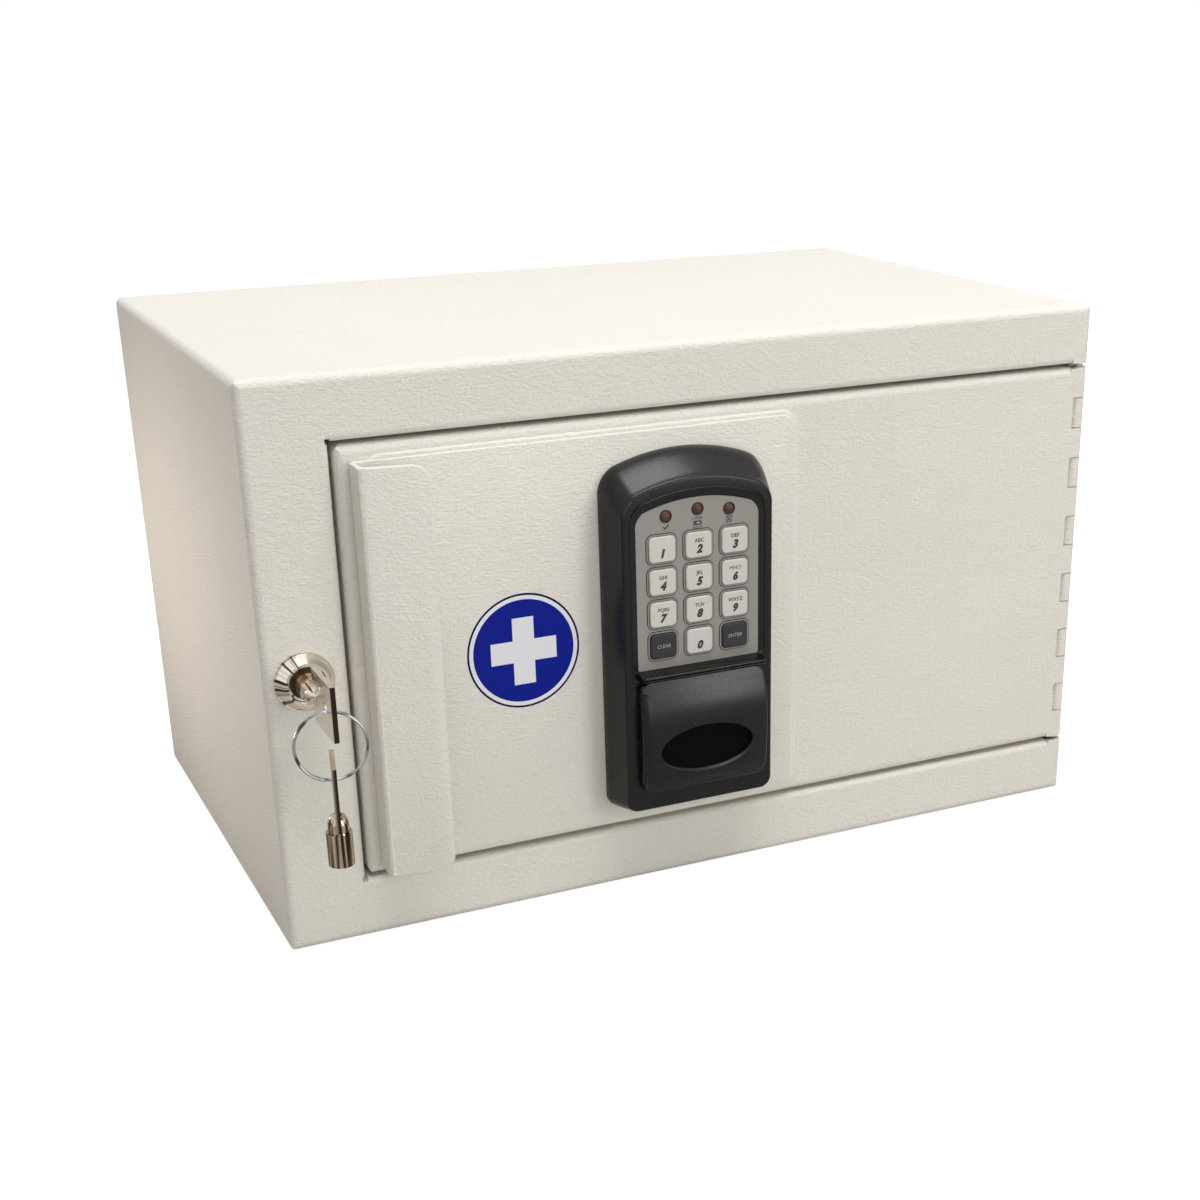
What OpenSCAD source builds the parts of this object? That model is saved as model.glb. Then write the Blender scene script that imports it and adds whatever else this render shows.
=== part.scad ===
// Lockable medicine cabinet: a folded steel box whose hinged door carries a bent pull plate
// and a keypad lock, with a tubular-key cam lock in the front frame.
// Origin at the centre of the box's bottom face, +X right seen from the front,
// +Y towards the back, +Z up. Millimetres. The part stands unlocked with its door shut.

/* [Cabinet box] */
// Width of the box
box_w = 355; // [320:1:450]
// Depth of the box, front face to back face
box_d = 220; // [160:1:320]
// Height of the box
box_h = 216; // [212:1:300]
// Thickness of the box's folded sheet
wall_t = 2; // [1.5:0.1:2.5]
// Outside radius of the box's bends
bend_r = 3; // [2.6:0.1:5]

/* [Front frame] */
// Width of the frame at the left of the door, which holds the cam lock
left_strip_w = 31.2; // [30:0.1:36]
// Height of the frame above the door
top_strip_h = 23.8; // [20:0.1:27]
// Height of the frame below the door
bottom_strip_h = 24; // [20:0.1:27]
// Depth of the lips folded inwards round the door opening
lip_d = 12; // [9:0.1:12.4]
// Outside radius of the lips' bends
lip_r = 2.4; // [1:0.1:2.8]
// Side of the square relief cut where two lips meet
relief_w = 1.1; // [1:0.1:3]

/* [Back panel] */
// Width of the flange folded forward round the back panel
back_flange_d = 12; // [8:0.5:20]
// Radius of the four mounting holes
mount_hole_r = 3.5; // [2.5:0.1:5]
// Distance between the mounting holes along the width
mount_span_x = 254; // [200:1:280]
// Distance between the mounting holes along the height
mount_span_z = 127; // [100:1:160]

/* [Door] */
// Gap between the door and the frame
door_gap = 1.6; // [1.2:0.1:2]
// Thickness of the door's sheet
door_t = 2; // [1.5:0.1:2.2]
// Outside radius of the door's folded edges
door_r = 3.2; // [2.6:0.1:4]
// Depth of the door's folded edges, front face to free edge
door_lip_d = 25; // [24.5:0.1:30]
// Depth of the fold at the door's lock edge
edge_fold_d = 8; // [6:0.5:11]
// Thickness of the angle inside the lock edge
edge_t = 2; // [1.5:0.1:2.5]
// Width of the angle's foot on the door
edge_foot = 12; // [8:0.5:16]

/* [Hinge] */
// Number of knuckles, door and box together
knuckle_n = 13; // [9:2:15]
// Outside radius of a rolled knuckle
knuckle_r = 3.2; // [3:0.1:3.6]
// Gap between neighbouring knuckles
knuckle_gap = 0.4; // [0.3:0.05:0.6]
// Radius of the hinge pin
pin_r = 1.3; // [1:0.05:1.5]
// Radial clearance of the pin in its knuckles
pin_fit = 0.05; // [0.03:0.01:0.09]
// Thickness of the hinge leaf welded inside the box
leaf_t = 1.9; // [1.5:0.1:2]
// Depth of the hinge leaf behind the knuckles
leaf_d = 24; // [15:0.5:30]

/* [Pull plate] */
// Thickness of the bent plate on the door
plate_t = 1.9; // [1.5:0.1:2.2]
// Width of the plate on the door
plate_w = 179.5; // [175:0.5:200]
// Height of the plate
plate_h = 156; // [150:0.5:157.5]
// Distance from the door's left edge to the plate
plate_from_edge = 2.7; // [2:0.1:6]
// Distance from the door's bottom edge to the plate
plate_rise = 3.2; // [2:0.1:4]
// Distance the pull stands out from the door's face
pull_out = 17; // [15:0.5:24]
// Width of the pull's front flange
pull_w = 28; // [22:0.5:34]
// Outside radius of the pull's front bend
pull_r = 5.5; // [3:0.1:7]
// Radius of the plate's corners
plate_corner_r = 6; // [2:0.5:9]

/* [Keypad housing] */
// Distance from the door's left edge to the keypad's middle
pad_from_edge = 132.2; // [125:0.1:140]
// Distance from the door's bottom edge to the keypad housing
pad_rise = 10.4; // [8:0.1:12]
// Width of the housing where it meets the plate
pad_w = 68.6; // [66:0.1:72]
// Height of the housing where it meets the plate
pad_h = 141.6; // [140:0.1:142]
// Depth of the housing from the plate to its front rim
pad_d = 16; // [15.5:0.1:18]
// Amount that each side slopes in towards the front
pad_draft = 2.65; // [1.5:0.05:3.2]
// Amount that the top slopes in towards the front
pad_top_draft = 8; // [5:0.1:9]
// Amount that the bottom slopes in towards the front
pad_bottom_draft = 1.8; // [1:0.1:3]
// Radius of the housing's arched top
pad_crown_r = 80; // [70:1:120]
// Amount by which the arch is tighter at the front than at the plate
pad_crown_loss = 5; // [0:0.5:8]
// Radius of the housing's upper corners where it meets the plate
pad_top_r = 9; // [7:0.5:11]
// Radius of the housing's upper corners at its front
pad_front_top_r = 7; // [5:0.5:9]
// Radius of the housing's lower corners
pad_low_r = 6; // [4:0.5:8]
// Height of the straight skirt where the housing meets the plate
pad_skirt = 2.4; // [1.5:0.1:4]
// Rounding of the housing's front edge
pad_edge_r = 0.9; // [0.5:0.1:1.2]
// Thickness of the housing's wall
pad_wall = 2.2; // [1.8:0.1:2.4]

/* [Keypad face] */
// Width of the grey fascia
fascia_w = 51.6; // [50:0.1:53]
// Height of the fascia at its middle
fascia_h = 65.6; // [65:0.1:67]
// Radius of the fascia's upper corners
fascia_top_r = 4.5; // [3:0.5:6]
// Radius of the fascia's lower corners
fascia_low_r = 1; // [0.5:0.1:2]
// Amount by which the fascia's arch is tighter than the housing's
fascia_crown_loss = 12; // [10:0.5:14]
// Thickness of the fascia
fascia_t = 1.2; // [0.8:0.1:1.5]
// Depth of the fascia's front below the rim
fascia_sink = 0.9; // [0.4:0.1:1.2]
// Distance between the keys' columns
key_pitch_x = 15.24; // [14.5:0.01:16]
// Distance between the keys' rows
key_pitch_z = 12.7; // [12:0.05:13]
// Width of a key cap
key_w = 10.9; // [10:0.1:11.2]
// Height of a key cap
key_h = 9.8; // [8:0.1:10]
// Height of a key cap above the fascia
key_proud = 1.1; // [1:0.1:1.5]
// Distance from the fascia's top to the middle of the top row of keys
top_row_drop = 18.3; // [17.5:0.1:18.5]
// Distance from the fascia's top to the middle of the outer lamps
lamp_drop = 6.1; // [5.5:0.1:6.5]
// Gap round a key cap in the fascia
key_gap = 0.25; // [0.2:0.05:0.4]
// Width of the raised rim round a key
key_rim_w = 0.5; // [0.3:0.05:0.6]
// Height of the raised rim above the fascia
key_rim_h = 0.3; // [0.1:0.05:0.5]
// Distance a key travels when it is pressed
key_travel = 0.9; // [0.5:0.1:1]
// Radius of a lamp lens
led_r = 2.2; // [1.5:0.1:2.2]
// Distance between the lamps
led_pitch = 13.25; // [12:0.05:14]

/* [Battery cover] */
// Width of the cover
cover_w = 53.4; // [50:0.1:55]
// Height of the cover
cover_h = 46.4; // [46:0.1:48]
// Height of the cover's crown in front of the housing's rim
cover_out = 6.5; // [5:0.1:8]
// Radius of the cover's curved front, seen from the side
cover_crown_r = 110; // [80:1:200]
// Thickness of the cover's wall
cover_t = 1.6; // [1.2:0.1:2]
// Half-width of the thumb recess
thumb_rx = 20.5; // [15:0.1:22]
// Half-height of the thumb recess
thumb_rz = 9.2; // [6:0.1:11]
// Depth of the thumb recess
thumb_deep = 3.4; // [2:0.1:3.8]
// Distance that the cover slides down to come off
cover_travel = 7; // [6:0.1:7.5]
// Running gap between the cover and the housing
cover_gap = 0.15; // [0.1:0.05:0.3]
// Radius of a battery cell
cell_r = 5.2; // [5:0.05:5.25]
// Length of a battery cell
cell_l = 44.5; // [40:0.5:45]

/* [Lock case] */
// Width of the case behind the door
case_w = 70; // [68:0.5:80]
// Height of the case
case_h = 104; // [98:0.5:108]
// Depth of the case, without its lid
case_d = 23; // [22:0.1:26]
// Thickness of the case's wall
case_t = 2; // [1.5:0.1:2.5]
// Distance from the keypad housing's bottom to the case's bottom
case_rise = 14; // [10:0.5:16]
// Radius of the machine screws
screw_r = 2; // [1.5:0.1:2]

/* [Latch] */
// Height of the latch bolt
bolt_h = 14; // [12:0.5:16]
// Thickness of the latch bolt
bolt_t = 5; // [4:0.1:5.5]
// Distance from the keypad housing's bottom to the bolt's middle
bolt_rise = 32; // [30:0.5:36]
// Distance the bolt travels to lock the door
bolt_travel = 12; // [8:0.5:14]
// Clearance of the bolt behind the frame's lip and in its guides
bolt_fit = 0.3; // [0.2:0.05:0.5]
// Module of the rack and pinion
gear_m = 1; // [0.9:0.05:1.1]
// Number of teeth on the pinion
pinion_n = 12; // [12:1:14]
// Backlash between the rack and the pinion
backlash = 0.2; // [0.15:0.01:0.3]

/* [Cam lock] */
// Distance from the box's left face to the lock's axis
lock_from_left = 15; // [14.6:0.1:16]
// Height of the lock's axis
lock_z = 107; // [60:0.5:150]
// Radius of the lock's barrel
lock_r = 9.4; // [8.5:0.1:9.6]
// Radius of the bezel on the frame
bezel_r = 11.2; // [10.5:0.1:12]
// Radius of the bezel's front edge
bezel_mouth_r = 8.15; // [7.5:0.05:9]
// Distance the bezel stands out from the frame
bezel_out = 5; // [3:0.1:6]
// Length of the barrel behind the frame's face
barrel_l = 18.2; // [17.8:0.1:20]
// Radius of the turning plug
plug_r = 7; // [6.6:0.1:7.2]
// Clearance between moving lock pieces
lock_fit = 0.15; // [0.1:0.01:0.2]
// Length of the cam from the lock's axis
cam_l = 29; // [26:0.5:32]
// Width of the cam
cam_w = 14; // [10:0.5:16]
// Thickness of the cam
cam_t = 2.5; // [2:0.1:3]

/* [Keys] */
// Outside radius of a key's tube
key_tube_r = 4.75; // [4.5:0.05:5.2]
// Length of a key's tube
key_tube_l = 12.7; // [11:0.1:15]
// Depth that a key's tube enters the lock
key_in = 6; // [4:0.1:7]
// Radius of a key's nose where it leaves the tube
key_nose_r = 3.9; // [3:0.1:4.1]
// Length of a key's nose
key_nose_l = 7.3; // [6:0.1:9]
// Length of a key's bow from the tube's shoulder
bow_l = 27.6; // [25:0.1:32]
// Width of a key's bow
bow_w = 20.4; // [16:0.1:24]
// Thickness of a key's bow
bow_t = 1.8; // [1.5:0.1:2.2]
// Distance from the bow's end to the middle of its hole
bow_hole_in = 9.3; // [7:0.1:11]
// Radius of the hole in a bow
bow_hole_r = 2.5; // [2.3:0.05:2.8]
// Radius of the split ring, to the middle of its wire
ring_r = 12.8; // [11:0.1:16]
// Radius of the split ring's wire
wire_r = 0.55; // [0.4:0.05:0.6]
// Angle that the ring and the spare key hang turned towards the left
ring_turn = 13; // [0:1:20]

/* [Hidden] */

$fn = 48;
eps = 0.01;
left_x = -box_w / 2;
right_x = box_w / 2;
front_y = -box_d / 2;
back_y = box_d / 2;

open_x0 = left_x + left_strip_w;
open_z0 = bottom_strip_h;
open_z1 = box_h - top_strip_h;
door_x0 = open_x0 + door_gap;
door_z0 = open_z0 + door_gap;
door_z1 = open_z1 - door_gap;
door_h = door_z1 - door_z0;
door_back_y = front_y + door_t;

pin_x = right_x - knuckle_r;
pin_y = front_y + knuckle_r;
pin_head_h = 0.6;
pin_head_r = pin_r + 0.6;
pin_over = 0.3;
knuckle_p = door_h / knuckle_n;
slot_w = 2 * knuckle_r + 0.4;
joggle_y = front_y + 2 * knuckle_r;
hinge_cut_y = joggle_y + wall_t + 0.6;
hinge_end_x = right_x - slot_w - 1;

plate_x0 = door_x0 + plate_from_edge;
plate_x1 = plate_x0 + plate_w;
plate_z0 = door_z0 + plate_rise;
plate_z1 = plate_z0 + plate_h;
plate_y = front_y - plate_t;
pull_y = front_y - pull_out;

pad_x = door_x0 + pad_from_edge;
pad_z = door_z0 + pad_rise;
rim_y = -pad_d;
front_w = pad_w - 2 * pad_draft;
front_z1 = pad_h - pad_top_draft;
fascia_z1 = front_z1 - 8.3;
fascia_z0 = fascia_z1 - fascia_h;
fascia_y = rim_y + fascia_sink;
fascia_back_y = fascia_y + fascia_t;
ledge = 1.6;
key_corner_r = 1.8;
groove_w = 0.2;
groove_d = 0.25;
board_t = 1.6;
key_back_y = fascia_back_y + 1.1;
board_y = key_back_y + key_travel + 0.4;
key_top_z = fascia_z1 - top_row_drop;
led_z = fascia_z1 - lamp_drop;
led_arch = 1.4;
bar_out = cover_out - 0.6;
bar_h = 1.2;
cover_z1 = fascia_z0 - 3.2;
cover_z0 = cover_z1 - cover_h;
bay_w = cell_l + 3.4;
bay_z0 = cover_z0 + 1.9;
bay_z1 = cover_z1 - 1;
bay_floor_y = -3.6;
bay_wall = 1.2;
front_t = fascia_sink + fascia_t + 1.4;
foot_x = bay_w / 2 + bay_wall + 0.3;
foot_t = cover_w / 2 - foot_x - 0.35;
foot_hook = 3;
foot_h = 5;
foot_z = [cover_z0 + 12, cover_z1 - 10];
cell_p = (bay_z1 - bay_z0) / 4;
cell_y = rim_y + cell_r + 0.3;
boss_r = 4;
boss_d = 8;
boss_web_t = 1.6;

case_z0 = case_rise;
case_z1 = case_z0 + case_h;
boss_out = 7;
boss_z = [case_z0 - boss_out, case_z1 + boss_out];
ear_l = boss_out + 5;
post_in = 6;
post_r = 3.4;
lid_screw_l = 8;
case_y0 = plate_t + door_t;
case_y1 = case_y0 + case_d;
cable_x = 20;
cable_z = case_z0 + 0.55 * case_h;
cable_r = 2;
cable_hole_r = 5;

bolt_y = front_y + lip_d + bolt_fit + 0.9;
bolt_z = pad_z + bolt_rise;
bolt_tip_x = door_x0 + door_t + edge_t + 0.4;
bolt_tail_x = pad_x + case_w / 2 - case_t - 8;
guide_in = 14;
guide_w = 12;
guide_t = 2;
guide_foot = 8;
pitch_r = gear_m * pinion_n / 2;
pinion_x = pad_x - 7;
pinion_z = bolt_z + bolt_h / 2 - gear_m + pitch_r;
motor_r = 10;
motor_shaft_r = 1.5;

lock_x = left_x + lock_from_left;
cam_y = front_y + barrel_l + 0.4;
cam_slot_fit = 0.9;
cam_slot_room = 3.2;
edge_r = door_r - door_t + 0.3;
nut_t = 4;
nut_af = 24;
plug_face_y = front_y - bezel_out + 3.2;
key_shoulder_y = front_y - bezel_out - key_tube_l + key_in - 0.4;
bow_pivot_drop = bow_hole_r - wire_r - 0.35;
ring_x = lock_x;
ring_y = key_shoulder_y - bow_l + bow_hole_in;
ring_z = lock_z - bow_pivot_drop - ring_r;
spare_hole_z = ring_z - ring_r - bow_pivot_drop;
spare_shoulder_z = spare_hole_z + bow_hole_in - bow_l;

paint = [0.93, 0.92, 0.89];
black = [0.08, 0.08, 0.09];
steel = [0.70, 0.71, 0.73];
nickel = [0.78, 0.75, 0.68];

// ---- shared shapes ------------------------------------------------------------------------

// Rectangle from (x0, y0) to (x1, y1) with its corners rounded
module rounded_rect(x0, y0, x1, y1, r) {
    translate([x0 + r, y0]) square([x1 - x0 - 2 * r, y1 - y0]);
    translate([x0, y0 + r]) square([x1 - x0, y1 - y0 - 2 * r]);
    for (x = [x0 + r, x1 - r], y = [y0 + r, y1 - r]) translate([x, y]) circle(r);
}

// Stands a drawing made in X and Z up, from y0 to y1
module stand(y0, y1) {
    translate([0, y1, 0]) rotate([90, 0, 0]) linear_extrude(y1 - y0) children();
}

// What a rounded corner of radius r takes off, with the corner at the origin, material in +X +Y
module corner_waste(r) {
    difference() {
        translate([-1, -1]) square(r + 1);
        translate([r, r]) circle(r);
    }
}

// Box whose front edges and long edges are rounded, and whose back is square
module folded_block(x0, x1, y0, y1, z0, z1, r) {
    over = 2 * r;
    intersection() {
        stand(y0, y1) rounded_rect(x0, z0, x1, z1, r);
        translate([0, 0, z0]) linear_extrude(z1 - z0) rounded_rect(x0, y0, x1, y1 + over, r);
        rotate([90, 0, 90]) translate([0, 0, x0]) linear_extrude(x1 - x0)
            rounded_rect(y0, z0, y1 + over, z1, r);
    }
}

// Round bar along Y from y0 to y1
module bar_y(x, z, y0, y1, r, r_end = undef) {
    translate([x, y0, z]) rotate([-90, 0, 0])
        cylinder(h = y1 - y0, r1 = r, r2 = is_undef(r_end) ? r : r_end);
}

// Places a drawing of the keypad lock, whose own origin is the bottom middle of the housing's back
module on_pad() {
    translate([pad_x, plate_y, pad_z]) children();
}

// ---- cabinet box --------------------------------------------------------------------------

module cabinet_shell() {
    color(paint) difference() {
        union() {
            difference() {
                folded_block(left_x, right_x, front_y, back_y, 0, box_h, bend_r);
                folded_block(left_x + wall_t, right_x - wall_t, front_y + wall_t, back_y + 1, wall_t,
                             box_h - wall_t, bend_r - wall_t);
            }
            opening_lips();
        }
        translate([open_x0, front_y - 1, open_z0])
            cube([box_w, hinge_cut_y - front_y + 1, open_z1 - open_z0]);
        lip_bends();
        for (z = [open_z0 - relief_w, open_z1 - 1]) translate([open_x0 - relief_w, front_y - 1, z])
            cube([relief_w + 1, lip_d + 2, relief_w + 1]);
        bar_y(lock_x, lock_z, front_y - 1, front_y + wall_t + 1, lock_r + lock_fit);
    }
}

// Lips folded inwards above, below and at the left of the door opening
module opening_lips() {
    w = hinge_end_x - open_x0 + wall_t;
    for (z = [open_z0 - wall_t, open_z1]) translate([open_x0 - wall_t, front_y, z])
        cube([w, lip_d, wall_t]);
    translate([open_x0 - wall_t, front_y, open_z0 - wall_t])
        cube([wall_t, lip_d, open_z1 - open_z0 + 2 * wall_t]);
}

// Rounds the front edges of the three lips
module lip_bends() {
    w = hinge_end_x - open_x0 + 1;
    translate([open_x0 - 1, 0, 0]) rotate([90, 0, 90]) linear_extrude(w)
        translate([front_y, open_z1]) corner_waste(lip_r);
    translate([open_x0 - 1, 0, 0]) rotate([90, 0, 90]) linear_extrude(w)
        translate([front_y, open_z0]) mirror([0, 1]) corner_waste(lip_r);
    translate([0, 0, open_z0 - 1]) linear_extrude(open_z1 - open_z0 + 2)
        translate([open_x0, front_y]) mirror([1, 0]) corner_waste(lip_r);
}

module back_panel() {
    x1 = right_x - wall_t;
    color(paint) difference() {
        folded_tray(x1, back_y - back_flange_d, back_y, wall_t, box_h - wall_t);
        for (x = [-1, 1], z = [-1, 1])
            bar_y(x * mount_span_x / 2, box_h / 2 + z * mount_span_z / 2, back_y - wall_t - 1, back_y + 1,
                  mount_hole_r);
    }
}

// Tray with its floor at y1 and its flange reaching forward to y0
module folded_tray(x1, y0, y1, z0, z1) {
    r = bend_r - wall_t + 0.4;
    stand(y1 - wall_t, y1) rounded_rect(-x1, z0, x1, z1, r);
    stand(y0, y1) difference() {
        rounded_rect(-x1, z0, x1, z1, r);
        translate([-x1 + wall_t, z0 + wall_t]) square([2 * (x1 - wall_t), z1 - z0 - 2 * wall_t]);
    }
}

// ---- hinge --------------------------------------------------------------------------------

// Rolled barrel of one knuckle, numbered from the bottom
module knuckle(i) {
    translate([pin_x, pin_y, door_z0 + i * knuckle_p + knuckle_gap / 2])
        cylinder(h = knuckle_p - knuckle_gap, r = knuckle_r);
}

module pin_bore() {
    translate([pin_x, pin_y, door_z0 - 1]) cylinder(h = door_h + 2, r = pin_r + pin_fit);
}

module hinge_leaf() {
    leaf_y = joggle_y + wall_t;
    color(paint) difference() {
        union() {
            for (i = [1 : 2 : knuckle_n - 2]) {
                knuckle(i);
                translate([0, 0, door_z0 + i * knuckle_p + knuckle_gap / 2])
                    linear_extrude(knuckle_p - knuckle_gap) leaf_joggle();
            }
            translate([right_x - wall_t - leaf_t, leaf_y, door_z0])
                cube([leaf_t, leaf_d, door_h]);
        }
        pin_bore();
    }
}

// Section of the strap that steps from the box's outer face to the inside of its wall
module leaf_joggle() {
    polygon([
        [right_x - leaf_t, pin_y], [right_x, pin_y], [right_x, joggle_y],
        [right_x - wall_t, joggle_y + wall_t], [right_x - wall_t, joggle_y + wall_t + 1],
        [right_x - wall_t - leaf_t, joggle_y + wall_t + 1], [right_x - wall_t - leaf_t, joggle_y + wall_t],
        [right_x - leaf_t, joggle_y]
    ]);
}

module hinge_pin() {
    color(nickel) translate([pin_x, pin_y, 0]) {
        translate([0, 0, door_z0 - pin_over]) cylinder(h = door_h + 2 * pin_over, r = pin_r);
        for (z = [door_z0 - pin_over - pin_head_h, door_z1 + pin_over]) translate([0, 0, z])
            cylinder(h = pin_head_h, r = pin_head_r);
    }
}

// ---- door ---------------------------------------------------------------------------------

module door_panel() {
    color(paint) difference() {
        union() {
            intersection() {
                difference() {
                    folded_block(door_x0, right_x + 20, front_y, front_y + door_lip_d, door_z0, door_z1,
                                 door_r);
                    folded_block(door_x0 + door_t, right_x + 21, door_back_y, back_y, door_z0 + door_t,
                                 door_z1 - door_t, door_r - door_t);
                }
                translate([door_x0 - 1, front_y - 1, 0]) cube([hinge_end_x - door_x0 + 1, box_d, box_h]);
            }
            translate([hinge_end_x - 1, front_y, door_z0 + 0.6])
                cube([pin_x - hinge_end_x + 1, door_t - 0.2, door_h - 1.2]);
            for (i = [0 : 2 : knuckle_n - 1]) knuckle(i);
        }
        for (i = [1 : 2 : knuckle_n - 2])
            translate([right_x - slot_w, front_y - 1, door_z0 + i * knuckle_p - knuckle_gap / 2])
                cube([slot_w + 1, 2 * knuckle_r + 2, knuckle_p + knuckle_gap]);
        pin_bore();
        door_holes(door_back_y + 1);
        translate([door_x0 - 1, front_y + edge_fold_d, door_z0 + door_t])
            cube([door_t + 2, door_lip_d, door_h - 2 * door_t]);
    }
}

// Angle inside the lock edge, with the bolt's window and the slot that the lock's cam swings into
module edge_angle() {
    color(paint) translate([door_x0 + door_t, 0, 0]) difference() {
        translate([0, front_y + door_t, door_z0 + door_t + edge_r])
            linear_extrude(door_h - 2 * (door_t + edge_r)) difference() {
                union() {
                    square([edge_t, door_lip_d - door_t]);
                    square([edge_foot, edge_t]);
                }
                corner_waste(edge_r);
            }
        translate([-1, bolt_y - bolt_fit, bolt_z - bolt_h / 2 - bolt_fit])
            cube([edge_t + 2, bolt_t + 2 * bolt_fit, bolt_h + 2 * bolt_fit]);
        translate([-1, cam_y - cam_slot_room, lock_z - cam_l + 2])
            cube([edge_t + 2, cam_slot_room + cam_t + cam_slot_fit, cam_l + cam_w / 2]);
    }
}

// Holes for the mounting screws and the keypad's cable, as far back as y1
module door_holes(y1) {
    for (z = boss_z) bar_y(pad_x, pad_z + z, plate_y - 1, y1, screw_r + 0.3);
    bar_y(pad_x + cable_x, pad_z + cable_z, plate_y - 1, y1, cable_hole_r);
}

module pull_plate() {
    color(paint) difference() {
        translate([0, 0, plate_z0]) linear_extrude(plate_h) pull_section();
        for (s = [0, 1]) {
            plate_corner(plate_x1, s, plate_y - 1, front_y + 1);
            plate_corner(plate_x0 + pull_w, s, pull_y - 1, pull_y + plate_t + 1);
        }
        door_holes(front_y + 1);
    }
}

// Section of the plate: flat on the door, out at the left, then back over the door as the pull
module pull_section() {
    root_r = 2.4;
    translate([plate_x0 + root_r, plate_y]) square([plate_w - root_r, plate_t]);
    translate([plate_x0, pull_y + pull_r]) square([plate_t, pull_out - pull_r - root_r]);
    translate([plate_x0 + pull_r, pull_y]) square([pull_w - pull_r, plate_t]);
    translate([plate_x0 + pull_r, pull_y + pull_r]) intersection() {
        bend_ring(pull_r);
        translate([-pull_r, -pull_r]) square(pull_r);
    }
    translate([plate_x0 + root_r, front_y - root_r]) intersection() {
        bend_ring(root_r);
        translate([-root_r, 0]) square(root_r);
    }
}

module bend_ring(r) {
    difference() {
        circle(r);
        circle(r - plate_t);
    }
}

// Waste of the plate's right-hand corner at x, at the bottom (0) or the top (1)
module plate_corner(x, s, y0, y1) {
    stand(y0, y1) translate([x, s == 0 ? plate_z0 : plate_z1])
        mirror([1, 0]) mirror([0, s]) corner_waste(plate_corner_r);
}

// ---- keypad housing -----------------------------------------------------------------------

// Arched outline of width w from z0 to z1, grown by g
module arched(w, z0, z1, crown_r, top_r, low_r, g = 0) {
    hw = w / 2 + g;
    rc = crown_r + g;
    tr = top_r + g;
    top_z = z1 + g - rc + sqrt(pow(rc - tr, 2) - pow(hw - tr, 2));
    hull() {
        for (s = [-1, 1]) {
            translate([s * (hw - low_r), z0 - g + low_r]) circle(low_r, $fn = 32);
            translate([s * (hw - tr), top_z]) circle(tr, $fn = 32);
        }
        intersection() {
            translate([0, z1 + g - rc]) circle(rc, $fn = 240);
            translate([tr - hw, z0 + low_r]) square([2 * (hw - tr), z1 - z0]);
        }
    }
}

// Loft of the housing, shrunk by g and reaching from y0 to the front face at y1
module housing_loft(y0, y1, g) {
    slice = 0.2;
    front_crown_r = pad_crown_r - pad_crown_loss;
    mid_y = -0.45 * pad_d;
    mid_crown_r = pad_crown_r - 0.4 * pad_crown_loss;
    mid_top_r = (pad_top_r + pad_front_top_r) / 2;
    mid_z1 = pad_h - 0.3 * pad_top_draft;
    edge_y = y1 + pad_edge_r;
    hull() {
        stand(y1, y1 + slice)
            arched(front_w, pad_bottom_draft, front_z1, front_crown_r, pad_front_top_r, pad_low_r,
                   -g - pad_edge_r);
        stand(edge_y, edge_y + slice)
            arched(front_w, pad_bottom_draft, front_z1, front_crown_r, pad_front_top_r, pad_low_r, -g);
        stand(mid_y, mid_y + slice)
            arched(pad_w - pad_draft, pad_bottom_draft / 2, mid_z1, mid_crown_r, mid_top_r, pad_low_r, -g);
        stand(-pad_skirt, y0) arched(pad_w, 0, pad_h, pad_crown_r, pad_top_r, pad_low_r, -g);
    }
}

module fascia_outline(g = 0) {
    arched(fascia_w, fascia_z0, fascia_z1, pad_crown_r - fascia_crown_loss, fascia_top_r, fascia_low_r, g);
}

module keypad_housing() {
    color(black) on_pad() difference() {
        union() {
            difference() {
                housing_loft(0, rim_y, 0);
                housing_loft(1, rim_y + front_t, pad_wall);
            }
            for (z = boss_z) bar_y(0, z, -boss_d, 0, boss_r);
            boss_web();
            bay_walls();
            cross_bars();
        }
        stand(rim_y - 1, fascia_back_y) fascia_outline(0.15);
        stand(rim_y - 1, board_y + board_t + 1) fascia_outline(-ledge);
        stand(rim_y - 1, bay_floor_y) translate([-bay_w / 2, bay_z0]) square([bay_w, bay_z1 - bay_z0]);
        for (z = boss_z) bar_y(0, z, -boss_d + 1.5, 1, screw_r * 0.9);
        for (s = [-1, 1], z = foot_z) foot_slot(s, z);
    }
}

// Web that joins the upper boss to the arched top
module boss_web() {
    top = pad_h - pad_wall / 2;
    translate([-boss_web_t / 2, 0, 0]) rotate([90, 0, 90]) linear_extrude(boss_web_t) polygon([
        [-0.5, boss_z[1]], [-0.5, top - 0.3], [-boss_d, top - 0.35 * pad_top_draft], [-boss_d, boss_z[1]]
    ]);
}

// Walls and floor of the battery bay inside the housing
module bay_walls() {
    w = bay_w / 2 + bay_wall;
    stand(rim_y + 1, bay_floor_y + pad_wall)
        translate([-w, bay_z0 - bay_wall]) square([2 * w, bay_z1 - bay_z0 + 2 * bay_wall]);
}

// Slot for one of the cover's hooked feet on side s, long enough for the foot to come out below
module foot_slot(s, z) {
    stand(rim_y - 1, rim_y + front_t + 1) mirror([s > 0 ? 0 : 1, 0])
        translate([foot_x - 0.2, z - cover_travel - 0.3])
            square([foot_t + 0.4, cover_travel + foot_h + 0.6]);
}

// Shelf above the cover and the thin rib below it
module cross_bars() {
    cross_bar(fascia_z0 - bar_h - 0.4, fascia_z0 - 0.4, bar_out, 0.4);
    cross_bar(fascia_z0 - 2.7, fascia_z0 - 2, bar_out - 0.4, 0.2);
}

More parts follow.
